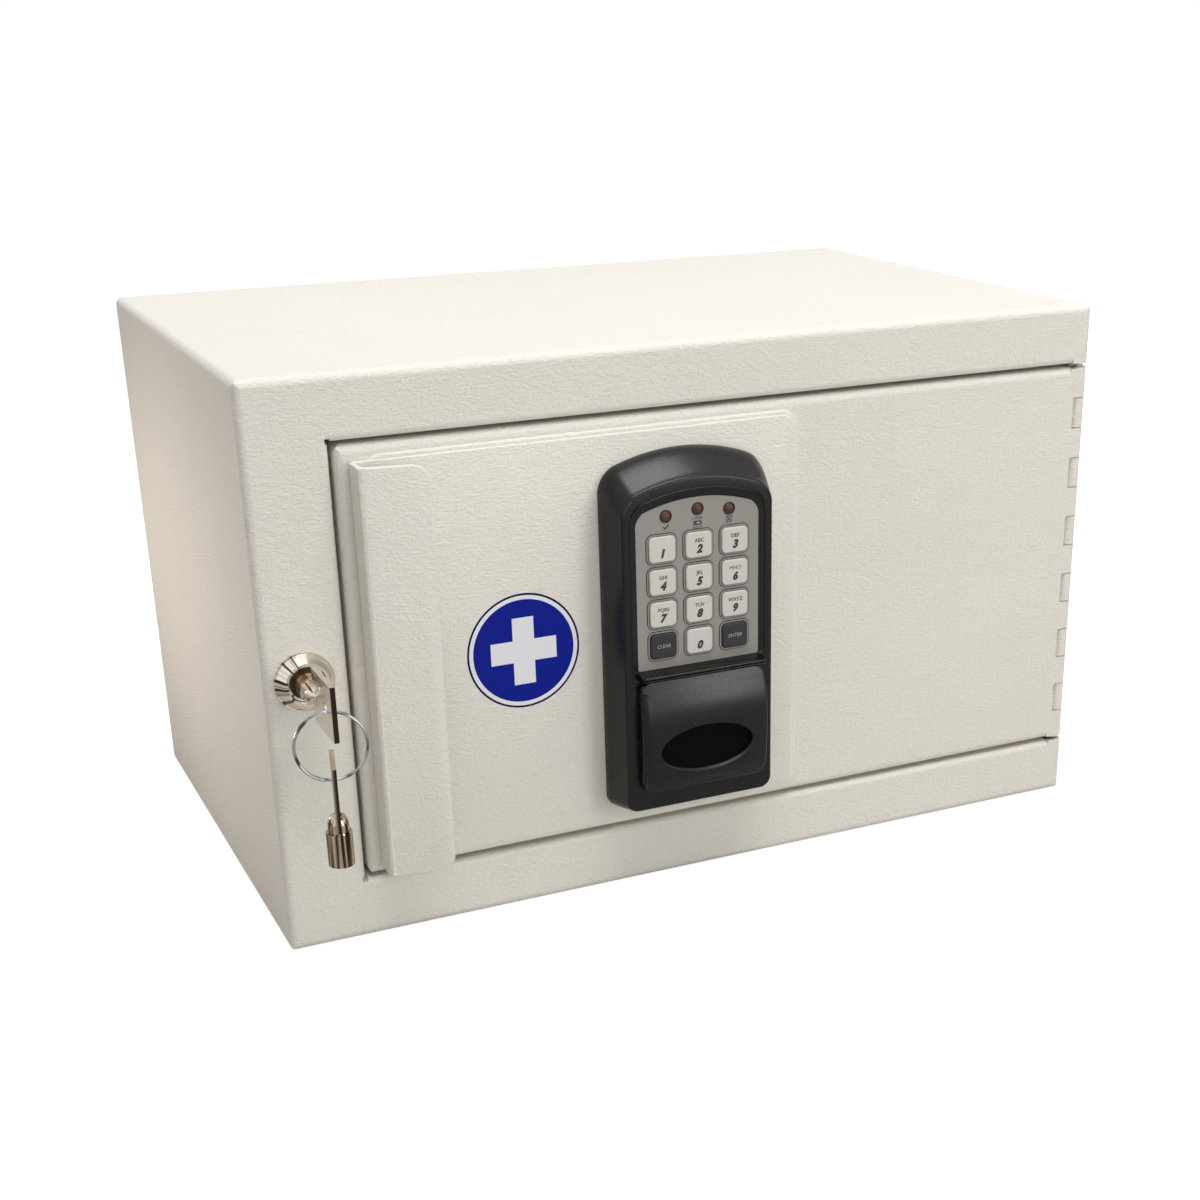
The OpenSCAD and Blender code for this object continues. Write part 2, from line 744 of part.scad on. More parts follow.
// Bar right across the housing's front, with its front edges bevelled
module cross_bar(z0, z1, out, bevel) {
    y = rim_y - out;
    rotate([90, 0, 90]) translate([0, 0, -cover_w / 2]) linear_extrude(cover_w) polygon([
        [rim_y + 1, z0], [y + bevel, z0], [y, z0 + bevel], [y, z1 - bevel], [y + bevel, z1], [rim_y + 1, z1]
    ]);
}

// Panel with a raised rim round each key and a fine groove round the rim
module keypad_fascia() {
    color([0.66, 0.65, 0.62]) on_pad() difference() {
        union() {
            stand(fascia_y, fascia_back_y) fascia_outline(-0.05);
            stand(fascia_y - key_rim_h, fascia_back_y) each_key() key_outline(key_gap + key_rim_w);
        }
        stand(fascia_y - 1, fascia_back_y + 1) each_key() key_outline(key_gap);
        stand(fascia_y - 1, fascia_y + groove_d) each_key() difference() {
            key_outline(key_gap + key_rim_w + groove_w);
            key_outline(key_gap + key_rim_w);
        }
        stand(fascia_y - 1, fascia_back_y + 1) for (c = [-1 : 1])
            translate([c * led_pitch, led_z + led_arch * (1 - abs(c))]) circle(led_r + 0.4, $fn = 32);
    }
}

// The twelve key places
module each_key() {
    for (c = [-1 : 1], r = [0 : 3]) translate([c * key_pitch_x, key_top_z - r * key_pitch_z]) children();
}

// Outline of a key cap, grown by g
module key_outline(g) {
    hw = key_w / 2 + g;
    hh = key_h / 2 + g;
    rounded_rect(-hw, -hh, hw, hh, key_corner_r + g);
}

// Key cap in column c (-1 to 1) and row r (0 to 3 from the top), with its stop flange behind the fascia
module keypad_key(c, r, tint = [0.90, 0.89, 0.86]) {
    color(tint) on_pad() translate([c * key_pitch_x, 0, key_top_z - r * key_pitch_z]) {
        hull() {
            stand(fascia_y - key_proud, fascia_y - key_proud + eps) key_outline(-0.4, $fn = 24);
            stand(fascia_y - key_proud + 0.1, key_back_y - 0.8) key_outline(-0.15, $fn = 24);
            stand(fascia_y - key_proud + 0.4, key_back_y - 0.8) key_outline(0, $fn = 24);
        }
        stand(fascia_back_y + 0.1, key_back_y) key_outline(key_gap + key_rim_w);
    }
}

module lamp_lenses() {
    color([0.35, 0.08, 0.06]) on_pad()
        for (c = [-1 : 1]) translate([c * led_pitch, 0, led_z + led_arch * (1 - abs(c))]) {
            bar_y(0, 0, fascia_y + 0.5, board_y, led_r);
            intersection() {
                translate([0, fascia_y + 1.6, 0]) sphere(led_r + 0.3);
                bar_y(0, 0, fascia_y - 1, fascia_y + 1, led_r);
            }
        }
}

module circuit_board() {
    color([0.10, 0.32, 0.18]) on_pad() {
        stand(board_y, board_y + board_t)
            rounded_rect(-fascia_w / 2 + ledge + 0.3, fascia_z0 + ledge + 0.3, fascia_w / 2 - ledge - 0.3,
                         fascia_z1 - 6, 1);
        for (c = [-1 : 1], r = [0 : 3])
            bar_y(c * key_pitch_x, key_top_z - r * key_pitch_z, board_y - 0.3, board_y + 0.1, 2.5);
    }
}

module battery_cells() {
    color([0.72, 0.55, 0.30]) on_pad() for (i = [0 : 3])
        translate([-cell_l / 2, cell_y, bay_z0 + cell_p * (i + 0.5)]) rotate([0, 90, 0]) {
            cylinder(h = cell_l - 0.8, r = cell_r);
            cylinder(h = cell_l, r = 1.9);
        }
}

module battery_contacts() {
    color(nickel) on_pad() for (s = [-1, 1], i = [0, 1])
        translate([s * (cell_l / 2 + 0.7), cell_y, bay_z0 + cell_p * (2 * i + 1)])
            cube([0.8, 2 * cell_r - 2, 2 * cell_p - 2], center = true);
}

module battery_cover() {
    axis_y = rim_y - cover_out + cover_crown_r;
    mid_z = (cover_z0 + cover_z1) / 2;
    y1 = rim_y - cover_gap;
    color(black) on_pad() difference() {
        intersection() {
            stand(rim_y - cover_out, y1)
                rounded_rect(-cover_w / 2, cover_z0, cover_w / 2, cover_z1, 4.5);
            cover_crown(axis_y, mid_z, cover_crown_r);
        }
        difference() {
            intersection() {
                stand(rim_y - cover_out, y1 + 1)
                    rounded_rect(-cover_w / 2 + cover_t, cover_z0 + cover_t, cover_w / 2 - cover_t,
                                 cover_z1 - cover_t, 3);
                cover_crown(axis_y, mid_z, cover_crown_r - cover_t);
            }
            translate([0, rim_y - cover_out - 0.3, mid_z - 6]) thumb_scoop(cover_t);
        }
        translate([0, rim_y - cover_out - 0.3, mid_z - 6]) thumb_scoop(0);
    }
    for (s = [-1, 1], z = foot_z) cover_foot(s, z);
}

// Hooked foot of the cover on side s, which slides behind the housing's front wall
module cover_foot(s, z) {
    y1 = rim_y + front_t + 0.2;
    color(black) on_pad() mirror([s > 0 ? 0 : 1, 0, 0]) {
        translate([foot_x, rim_y - 1.5, z]) cube([foot_t, y1 - rim_y + 3, foot_h]);
        translate([foot_x, y1, z]) cube([foot_t, 1.5, foot_h + foot_hook]);
    }
}

module cover_crown(axis_y, z, r) {
    translate([-cover_w, axis_y, z]) rotate([0, 90, 0]) cylinder(h = 2 * cover_w, r = r, $fn = 360);
}

// Flattened ball of the thumb recess, grown by g
module thumb_scoop(g) {
    r = thumb_rx + g;
    scale([1, (thumb_deep + g) / r, (thumb_rz + g) / r]) sphere(r, $fn = 64);
}

module keypad_cable() {
    color([0.15, 0.15, 0.16]) on_pad()
        bar_y(cable_x, cable_z, board_y + board_t, case_y0 + case_t + 2, cable_r);
}

module mounting_screws() {
    color(steel) on_pad() for (z = boss_z) {
        bar_y(0, z, -boss_d + 2, case_y0 + case_t, screw_r * 0.85);
        bar_y(0, z, case_y0 + case_t, case_y0 + case_t + 2.4, screw_r * 1.8, screw_r * 1.5);
    }
}

// ---- lock case behind the door ------------------------------------------------------------

module lock_case() {
    hw = case_w / 2;
    slot_y0 = bolt_y - plate_y - bolt_fit;
    color(steel) on_pad() difference() {
        union() {
            stand(case_y0, case_y1) rounded_rect(-hw, case_z0, hw, case_z1, 3);
            stand(case_y0, case_y0 + case_t) rounded_rect(-8, case_z0 - ear_l, 8, case_z1 + ear_l, 3);
        }
        stand(case_y0 + case_t, case_y1 + 1)
            rounded_rect(-hw + case_t, case_z0 + case_t, hw - case_t, case_z1 - case_t, 1);
        translate([-hw - 1, slot_y0, bolt_rise - bolt_h / 2 - bolt_fit])
            cube([case_t + 2, bolt_t + 2 * bolt_fit, bolt_h + 2 * bolt_fit]);
        for (z = boss_z) bar_y(0, z, case_y0 - 1, case_y0 + case_t + 1, screw_r + 0.3);
        bar_y(cable_x, cable_z, case_y0 - 1, case_y0 + case_t + 1, cable_r + 0.5);
        bar_y(pinion_x - pad_x, pinion_z - pad_z, case_y0 - 1, case_y0 + case_t + 1, motor_shaft_r + 0.5);
    }
    case_posts();
}

// Corner posts that take the lid's screws
module case_posts() {
    color(steel) on_pad() for (x = [-1, 1], z = [case_z0 + post_in, case_z1 - post_in]) difference() {
        bar_y(x * (case_w / 2 - post_in), z, case_y0 + case_t - 0.5, case_y1, post_r);
        bar_y(x * (case_w / 2 - post_in), z, case_y1 - lid_screw_l, case_y1 + 1, screw_r * 0.75);
    }
}

module lock_case_lid() {
    hw = case_w / 2;
    color(steel) on_pad() difference() {
        union() {
            stand(case_y1, case_y1 + case_t) rounded_rect(-hw, case_z0, hw, case_z1, 3);
            bar_y(pinion_x - pad_x, pinion_z - pad_z, bolt_y + bolt_t - plate_y + 1.2, case_y1, 4);
        }
        for (x = [-1, 1], z = [case_z0 + post_in, case_z1 - post_in])
            bar_y(x * (case_w / 2 - post_in), z, case_y1 - 1, case_y1 + case_t + 1, screw_r * 0.75 + 0.2);
        bar_y(pinion_x - pad_x, pinion_z - pad_z, bolt_y + bolt_t - plate_y, case_y1 - 0.5,
              motor_shaft_r + 0.05);
    }
}

module lid_screws() {
    color(steel) on_pad() for (x = [-1, 1], z = [case_z0 + post_in, case_z1 - post_in]) {
        bar_y(x * (case_w / 2 - post_in), z, case_y1 - 0.75 * lid_screw_l, case_y1 + case_t,
              screw_r * 0.75 - 0.05);
        bar_y(x * (case_w / 2 - post_in), z, case_y1 + case_t, case_y1 + case_t + 1.6,
              screw_r * 1.5, screw_r);
    }
}

// ---- latch --------------------------------------------------------------------------------

module latch_bolt() {
    z0 = bolt_z - bolt_h / 2;
    z1 = bolt_z + bolt_h / 2;
    pitch = PI * gear_m;
    root_z = z1 - 2.25 * gear_m;
    half = pitch / 4 - backlash / 2;
    slope = tan(20);
    color(steel) difference() {
        union() {
            translate([bolt_tip_x, bolt_y, z0]) cube([bolt_tail_x - bolt_tip_x, bolt_t, root_z - z0]);
            translate([bolt_tip_x, bolt_y, z0]) cube([pinion_x - 5.5 * pitch - bolt_tip_x, bolt_t, bolt_h]);
            for (i = [-5 : 6]) stand(bolt_y, bolt_y + bolt_t)
                translate([pinion_x + (i - 0.5) * pitch, z1 - gear_m])
                    polygon([
                        [-half - 1.25 * gear_m * slope, -1.25 * gear_m - eps],
                        [half + 1.25 * gear_m * slope, -1.25 * gear_m - eps],
                        [half - gear_m * slope, gear_m], [-half + gear_m * slope, gear_m]
                    ]);
        }
        translate([bolt_tip_x, bolt_y, 0]) linear_extrude(box_h)
            polygon([[-1, bolt_t + 1], [-1, 1.4], [0, 1.4], [3.4, bolt_t], [3.4, bolt_t + 1]]);
    }
}

// Bridge on the door's inside that the bolt runs through
module bolt_guide() {
    x0 = bolt_tip_x + guide_in;
    t = guide_t;
    z0 = bolt_z - bolt_h / 2 - bolt_fit;
    z1 = bolt_z + bolt_h / 2 + bolt_fit;
    y1 = bolt_y + bolt_t + bolt_fit;
    color(steel) translate([x0, 0, 0]) rotate([90, 0, 90]) linear_extrude(guide_w) {
        for (z = [z0 - t, z1]) translate([door_back_y, z]) square([y1 + t - door_back_y, t]);
        translate([y1, z0 - t]) square([t, z1 - z0 + 2 * t]);
        translate([bolt_y - bolt_fit - t, z0 - t]) square([t, z1 - z0 + 2 * t]);
        for (z = [z0 - t - guide_foot, z1 + t]) translate([door_back_y, z]) square([t, guide_foot]);
    }
}

// Angle in degrees that an involute of base radius rb has turned through at radius r
function involute(r, rb) = r <= rb ? 0 : tan(acos(rb / r)) * 180 / PI - acos(rb / r);

// Half of a tooth's angle at radius r
function tooth_half(r, rb) =
    90 / pinion_n - backlash / pitch_r * 45 / PI + involute(pitch_r, rb) - involute(r, rb);

function tooth_points(i, rb, root, tip) = let (a = 360 / pinion_n * i, n = 5) concat(
    [for (k = [0 : n]) let (r = root + (tip - root) * k / n, h = tooth_half(r, rb))
        [r * cos(a - h), r * sin(a - h)]],
    [for (k = [n : -1 : 0]) let (r = root + (tip - root) * k / n, h = tooth_half(r, rb))
        [r * cos(a + h), r * sin(a + h)]]
);

module drive_pinion() {
    rb = pitch_r * cos(20);
    root = pitch_r - 1.2 * gear_m;
    tip = pitch_r + 0.95 * gear_m;
    color(nickel) {
        translate([pinion_x, bolt_y + bolt_t, pinion_z]) rotate([90, 0, 0])
            linear_extrude(bolt_t) rotate(-90)
                polygon([for (i = [0 : pinion_n - 1]) each tooth_points(i, rb, root, tip)]);
        bar_y(pinion_x, pinion_z, plate_y + case_y0 + case_t + 1, plate_y + case_y1 - 0.7, motor_shaft_r);
    }
}

module lock_motor() {
    y0 = plate_y + case_y0 + case_t;
    color([0.55, 0.56, 0.58]) difference() {
        union() {
            bar_y(pinion_x, pinion_z, y0, bolt_y - 1.6, motor_r);
            bar_y(pinion_x, pinion_z, bolt_y - 1.6, bolt_y - 0.8, 3.2);
        }
        bar_y(pinion_x, pinion_z, y0 - 1, bolt_y, motor_shaft_r + 0.05);
    }
}

// ---- cam lock -----------------------------------------------------------------------------

module cam_lock_body() {
    mouth_y = front_y - bezel_out;
    color(nickel) difference() {
        union() {
            bar_y(lock_x, lock_z, front_y, front_y + barrel_l, lock_r);
            bar_y(lock_x, lock_z, front_y - 1, front_y, bezel_r);
            bar_y(lock_x, lock_z, mouth_y, front_y - 1, bezel_mouth_r, bezel_r - 0.5);
        }
        bar_y(lock_x, lock_z, mouth_y - 1, front_y + barrel_l + 1, plug_r + lock_fit);
    }
}

module cam_lock_nut() {
    color(steel) difference() {
        translate([lock_x, front_y + wall_t, lock_z]) rotate([-90, 30, 0])
            cylinder(h = nut_t, r = nut_af / 2 / cos(30), $fn = 6);
        bar_y(lock_x, lock_z, front_y, front_y + wall_t + nut_t + 1, lock_r + 0.05);
    }
}

module lock_plug() {
    end_y = front_y + barrel_l + cam_t + 3.2;
    color(nickel) difference() {
        union() {
            bar_y(lock_x, lock_z, plug_face_y, front_y + barrel_l + 0.3, plug_r);
            translate([lock_x, (front_y + barrel_l + end_y) / 2, lock_z])
                cube([7, end_y - front_y - barrel_l, 7], center = true);
        }
        difference() {
            bar_y(lock_x, lock_z, plug_face_y - 1, key_mouth_y() + key_in + 0.6, key_tube_r + 0.1);
            bar_y(lock_x, lock_z, plug_face_y + 0.4, key_mouth_y() + key_in + 1, key_tube_r - 1.5);
        }
    }
}

// Front end of the annular keyway
function key_mouth_y() = key_shoulder_y + key_tube_l - key_in;

module lock_cam() {
    color(steel) difference() {
        stand(cam_y, cam_y + cam_t) {
            translate([lock_x, lock_z]) circle(cam_w / 2);
            translate([lock_x - cam_w / 2, lock_z - cam_l + 3]) square([cam_w, cam_l - 3]);
            translate([lock_x - cam_w / 2 + 3, lock_z - cam_l]) square([cam_w - 6, 4]);
        }
        translate([lock_x, cam_y, lock_z]) cube([7.1, 4 * cam_t, 7.1], center = true);
    }
}

module cam_nut() {
    y0 = cam_y + cam_t;
    color(steel) difference() {
        translate([lock_x, y0, lock_z]) rotate([-90, 0, 0]) cylinder(h = 3.4, r = 7.5, $fn = 6);
        translate([lock_x, y0, lock_z]) cube([7.04, 10, 7.04], center = true);
    }
}

// ---- keys ---------------------------------------------------------------------------------

// Tubular key's turned end, with its shoulder at the origin and its tube along +Y
module turned_tube() {
    difference() {
        rotate([-90, 0, 0]) rotate_extrude() polygon(concat(
            [[0, key_tube_l], [key_tube_r, key_tube_l], [key_tube_r, 0], [key_nose_r, 0]],
            [for (k = [0 : 7]) let (a = 90 * k / 8)
                [key_nose_r * cos(a), -key_nose_l * 0.35 - key_nose_l * 0.65 * sin(a)]],
            [[0, -key_nose_l]]
        ));
        translate([0, key_tube_l - key_in - 1.4, 0]) rotate([-90, 0, 0])
            cylinder(h = key_in + 3, r = key_tube_r - 1.4);
        translate([-bow_t / 2 - 0.02, -key_nose_l - 1, -key_nose_r - 1])
            cube([bow_t + 0.04, key_nose_l + 0.5, 2 * key_nose_r + 2]);
    }
}

// Flat bow with its tang in the nose's slot, outer end towards -Y
module flat_bow() {
    neck = 3;
    rotate([90, 0, 90]) translate([0, 0, -bow_t / 2]) linear_extrude(bow_t) difference() {
        union() {
            translate([-bow_l, -bow_w / 2]) square([bow_l - neck, bow_w]);
            translate([-neck - 1, -key_nose_r]) square([neck + 0.5, 2 * key_nose_r]);
        }
        translate([-bow_l + bow_hole_in, 0]) circle(bow_hole_r);
    }
}

module in_lock() {
    translate([lock_x, key_shoulder_y, lock_z]) children();
}

module on_ring() {
    translate([ring_x, ring_y, spare_shoulder_z]) rotate([0, 0, -ring_turn]) rotate([-90, 0, 0]) children();
}

module key_tube() {
    color(nickel) in_lock() turned_tube();
}

module key_bow() {
    color(nickel) in_lock() flat_bow();
}

module spare_key_tube() {
    color(nickel) on_ring() turned_tube();
}

module spare_key_bow() {
    color(nickel) on_ring() flat_bow();
}

// One full turn of wire, with half a turn more lying in front of it at the left
module split_ring() {
    lap_start = 125;
    lap_end = 256;
    lap_y = -1.7 * wire_r;
    color(steel) translate([ring_x, ring_y, ring_z]) rotate([0, 0, -ring_turn]) {
        rotate([90, 0, 0]) rotate_extrude($fn = 96) translate([ring_r, 0]) circle(wire_r, $fn = 20);
        translate([0, lap_y, 0]) rotate([90, 0, 0]) rotate([0, 0, lap_start])
            rotate_extrude(angle = lap_end - lap_start, $fn = 96) translate([ring_r, 0])
                circle(wire_r, $fn = 20);
    }
}

cabinet_shell();
back_panel();
hinge_leaf();
hinge_pin();
cam_lock_body();
cam_lock_nut();
lock_plug();
lock_cam();
cam_nut();
key_tube();
key_bow();
split_ring();
spare_key_tube();
spare_key_bow();
door_panel();
edge_angle();
pull_plate();
keypad_housing();
keypad_fascia();
keypad_key(-1, 0);  // key_1
keypad_key(0, 0);  // key_2
keypad_key(1, 0);  // key_3
keypad_key(-1, 1);  // key_4
keypad_key(0, 1);  // key_5
keypad_key(1, 1);  // key_6
keypad_key(-1, 2);  // key_7
keypad_key(0, 2);  // key_8
keypad_key(1, 2);  // key_9
keypad_key(-1, 3, [0.2, 0.2, 0.22]);  // key_clear
keypad_key(0, 3);  // key_0
keypad_key(1, 3, [0.2, 0.2, 0.22]);  // key_enter
lamp_lenses();
circuit_board();
battery_cells();
battery_contacts();
battery_cover();
keypad_cable();
mounting_screws();
lock_case();
lock_case_lid();
lid_screws();
latch_bolt();
bolt_guide();
drive_pinion();
lock_motor();
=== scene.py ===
import math

import bmesh
import bpy
from mathutils import Matrix, Vector


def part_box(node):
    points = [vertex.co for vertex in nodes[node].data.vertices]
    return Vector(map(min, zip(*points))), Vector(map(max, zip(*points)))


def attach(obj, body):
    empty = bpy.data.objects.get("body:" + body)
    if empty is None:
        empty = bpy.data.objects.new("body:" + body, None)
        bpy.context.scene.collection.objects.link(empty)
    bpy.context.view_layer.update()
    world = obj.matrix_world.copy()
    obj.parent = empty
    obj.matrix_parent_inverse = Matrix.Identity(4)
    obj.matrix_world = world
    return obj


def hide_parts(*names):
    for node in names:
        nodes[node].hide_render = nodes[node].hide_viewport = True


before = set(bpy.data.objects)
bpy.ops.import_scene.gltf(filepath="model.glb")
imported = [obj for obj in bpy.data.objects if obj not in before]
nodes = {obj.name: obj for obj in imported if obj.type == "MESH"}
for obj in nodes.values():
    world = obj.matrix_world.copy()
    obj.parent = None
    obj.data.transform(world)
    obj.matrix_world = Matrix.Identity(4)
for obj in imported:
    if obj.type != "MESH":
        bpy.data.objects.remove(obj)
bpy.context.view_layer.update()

MM = 0.001
TINY = 1e-5
# How nearly a face has to look one way to be picked, and from which angle an edge is a sharp one
FACING = 0.9
SHARP = math.radians(50)
# Turns what is added lying down so that it faces the front
FORWARD = math.pi / 2, 0, 0

# The plate and pull on the door
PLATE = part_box("pull_plate")
SHEET = 1.9 * MM
PLATE_FRONT = PLATE[1].y - SHEET

# The keypad lock's housing: its foot, its back and its front rim
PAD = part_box("keypad_housing")
PAD_X = (PAD[0].x + PAD[1].x) / 2
PAD_Z = PAD[0].z
PAD_Y = PAD[1].y
RIM_Y = PAD_Y - 16 * MM
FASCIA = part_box("keypad_fascia")
FASCIA_Y = FASCIA[1].y - 1.2 * MM
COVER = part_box("battery_cover")

# The three lamps in the fascia, the middle one a little higher
LAMP_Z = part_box("lamp_lenses")[0].z + 2.2 * MM
LAMP_PITCH = 13.25 * MM
LAMP_RISE = 1.4 * MM
LAMPS = (PAD_X - LAMP_PITCH, LAMP_Z), (PAD_X, LAMP_Z + LAMP_RISE), (PAD_X + LAMP_PITCH, LAMP_Z)

# The cam lock's axis, and the mouth of its bezel
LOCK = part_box("cam_lock_body")
LOCK_X = (LOCK[0].x + LOCK[1].x) / 2
LOCK_Z = (LOCK[0].z + LOCK[1].z) / 2
BEZEL_MOUTH = 6.4 * MM


# ---------------------------------------------------------------- camera

CAMERA_PLACE = -0.30854, -0.7427, 0.33183
CAMERA_RIGHT = 0.8985, -0.43891, -0.00815
CAMERA_BACK = -0.40115, -0.82845, 0.39082
CAMERA_LENS = 55.679
CAMERA_SENSOR = 36
CAMERA_SHIFT = -0.0875, 0.1583


def make_camera():
    """Camera off the cabinet's left front corner, looking down at it a little."""
    data = bpy.data.cameras.new("camera")
    data.lens = CAMERA_LENS
    data.sensor_width = CAMERA_SENSOR
    data.shift_x, data.shift_y = CAMERA_SHIFT
    data.clip_start = 0.01
    cam = bpy.data.objects.new("camera", data)
    right = Vector(CAMERA_RIGHT).normalized()
    back = Vector(CAMERA_BACK).normalized()
    up = back.cross(right).normalized()
    right = up.cross(back)
    turn = Matrix((right, up, back)).transposed().to_4x4()
    cam.matrix_world = Matrix.Translation(CAMERA_PLACE) @ turn
    bpy.context.scene.collection.objects.link(cam)
    bpy.context.scene.camera = cam
    bpy.context.scene.view_settings.view_transform = "Standard"


# ---------------------------------------------------------------- node helpers

# A Mix node's two ends and its result, by what it mixes
MIX_SOCKETS = {"FLOAT": (2, 3, 0), "RGBA": (6, 7, 2)}


def new_group(name, inputs, outputs):
    """An empty shader group, its inputs given as (name, kind, default) and its outputs as names."""
    g = bpy.data.node_groups.new(name, "ShaderNodeTree")
    for label, kind, default in inputs:
        socket = g.interface.new_socket(label, in_out="INPUT", socket_type="NodeSocket" + kind)
        socket.default_value = default
    for label in outputs:
        g.interface.new_socket(label, in_out="OUTPUT", socket_type="NodeSocketFloat")
    return g, g.nodes.new("NodeGroupInput"), g.nodes.new("NodeGroupOutput")


def add(tree, kind, **settings):
    """A shader node with its settings."""
    n = tree.nodes.new("ShaderNode" + kind)
    for key, value in settings.items():
        setattr(n, key, value)
    return n


def feed(tree, socket, value):
    """Gives a socket a constant, or joins another node's output to it."""
    if isinstance(value, bpy.types.NodeSocket):
        tree.links.new(value, socket)
    else:
        socket.default_value = value


def put(tree, node, **values):
    """Feeds a node's sockets, named with _ for a space."""
    for key, value in values.items():
        feed(tree, node.inputs[key.replace("_", " ")], value)
    return node


def calc(tree, operation, *values, kind="Math"):
    """Node that works out a number, or a vector, from sockets or constants."""
    n = add(tree, kind, operation=operation)
    for socket, value in zip(n.inputs, values):
        feed(tree, socket, value)
    return n


def calc_vector(tree, operation, *values):
    """The same for vectors."""
    return calc(tree, operation, *values, kind="VectorMath")


def remap(tree, value, low, high, to_low=0.0, to_high=1.0, way="LINEAR"):
    """A value taken from one range to another, and kept inside it."""
    n = add(tree, "MapRange", interpolation_type=way)
    put(tree, n, Value=value, From_Min=low, From_Max=high, To_Min=to_low, To_Max=to_high)
    return n.outputs[0]


def blend(tree, share, first, second, kind="RGBA"):
    """Goes from the first value or colour to the second as the share goes from 0 to 1."""
    n = add(tree, "Mix", data_type=kind)
    one, two, result = MIX_SOCKETS[kind]
    for socket, value in ((0, share), (one, first), (two, second)):
        feed(tree, n.inputs[socket], value)
    return n.outputs[result]


def noise(tree, place, scale, detail, rough, distortion=0.0):
    """Cloudy value between 0 and 1 over a place."""
    n = add(tree, "TexNoise", noise_dimensions="3D")
    put(tree, n, Vector=place, Scale=scale, Detail=detail, Roughness=rough, Distortion=distortion)
    return n.outputs[0]


def own_place(tree):
    """Where a point lies in its own object."""
    return add(tree, "TexCoord").outputs["Object"]


def colour(r, g, b):
    return r, g, b, 1.0


# ---------------------------------------------------------------- effects that materials share

# How much finer the fine grain is than the coarse, and the size of the slow patches
FINE_GRAIN = 3.1
MOTTLE_SCALE = 9.0
# How much less painted dark reflection the bezel's right side shows, and how soft the painted shade
# ring inside its mouth is
BEZEL_REFLECTION_LEAN = -0.13
MOUTH_SHADE_BLUR = 0.6 * MM
EDGE_BLUR = 0.1 * MM


def grain_group():
    """Uneven pebbled grain as a height from 0 to 1, and a slow mottle."""
    g, i, o = new_group("pebbled_grain", (("Scale", "Float", 500.0), ("Fine", "Float", 0.3),
                                          ("Stretch", "Vector", (1.0, 1.0, 1.0))),
                        ("Height", "Mottle"))
    place = calc_vector(g, "MULTIPLY", own_place(g), i.outputs["Stretch"]).outputs[0]
    coarse = noise(g, place, i.outputs["Scale"], 2.0, 0.5, 0.6)
    fine_scale = calc(g, "MULTIPLY", i.outputs["Scale"], FINE_GRAIN).outputs[0]
    fine = noise(g, place, fine_scale, 3.0, 0.6)
    put(g, o, Height=blend(g, i.outputs["Fine"], coarse, fine, "FLOAT"),
        Mottle=noise(g, place, MOTTLE_SCALE, 3.0, 0.55))
    return g


def streak_group():
    """Painted reflection: dark streaks where a polished piece would mirror the dark, stretched as
    it is told in its own place.
    """
    g, i, o = new_group("painted_reflection_streaks", (("Across", "Vector", (300.0, 300.0, 20.0)),
                                           ("Low", "Float", 0.45), ("High", "Float", 0.55)),
                        ("Dark",))
    wide = calc_vector(g, "MULTIPLY", own_place(g), i.outputs["Across"]).outputs[0]
    cloud = noise(g, wide, 1.0, 2.0, 0.5, 0.3)
    put(g, o, Dark=remap(g, cloud, i.outputs["Low"], i.outputs["High"], way="SMOOTHSTEP"))
    return g


def lathe_group():
    """Painted reflection as dark streaks that run out from the cam lock's axis, fewer on the right
    side, and painted shade as a dark ring inside its bezel's mouth.
    """
    g, i, o = new_group("painted_bezel_reflection_and_shade", (("Count", "Float", 5.0), ("Low", "Float", 0.5),
                                          ("High", "Float", 0.6), ("Ring", "Float", 0.0055)),
                        ("Dark",))
    place = put(g, add(g, "SeparateXYZ"), Vector=own_place(g))
    off = add(g, "CombineXYZ")
    put(g, off, X=calc(g, "SUBTRACT", place.outputs["X"], LOCK_X).outputs[0],
        Y=calc(g, "SUBTRACT", place.outputs["Z"], LOCK_Z).outputs[0])
    way = calc_vector(g, "NORMALIZE", off.outputs[0]).outputs[0]
    spread = put(g, calc_vector(g, "SCALE", way), Scale=i.outputs["Count"]).outputs[0]
    side = put(g, add(g, "SeparateXYZ"), Vector=way).outputs["X"]
    # Painted reflection: dark streaks round the axis, fewer on the bezel's right side
    cloud = noise(g, spread, 1.0, 3.0, 0.65)
    cloud = calc(g, "MULTIPLY_ADD", side, BEZEL_REFLECTION_LEAN, cloud).outputs[0]
    streaks = remap(g, cloud, i.outputs["Low"], i.outputs["High"], way="SMOOTHSTEP")
    # Painted shade: dark inside the bezel's mouth
    reach = calc_vector(g, "LENGTH", off.outputs[0]).outputs["Value"]
    inside = calc(g, "SUBTRACT", i.outputs["Ring"], MOUTH_SHADE_BLUR).outputs[0]
    ring = remap(g, reach, inside, i.outputs["Ring"], 1.0, 0.0, "SMOOTHSTEP")
    put(g, o, Dark=calc(g, "MAXIMUM", streaks, ring).outputs[0])
    return g


def edge_group():
    """Painted reflection on the front edge of a key's bow: dark on all that lies in front of a
    depth.
    """
    g, i, o = new_group("painted_bow_edge_reflection", (("Front", "Float", 0.0), ("Deep", "Float", 0.0004)),
                        ("Dark",))
    y = put(g, add(g, "SeparateXYZ"), Vector=own_place(g)).outputs["Y"]
    ahead = calc(g, "SUBTRACT", i.outputs["Front"], y).outputs[0]
    put(g, o, Dark=remap(g, ahead, -EDGE_BLUR, i.outputs["Deep"], way="SMOOTHSTEP"))
    return g


GRAIN = grain_group()
REFLECTION_STREAKS = streak_group()
BEZEL_REFLECTION_AND_SHADE = lathe_group()
BOW_EDGE_REFLECTION = edge_group()


# ---------------------------------------------------------------- materials

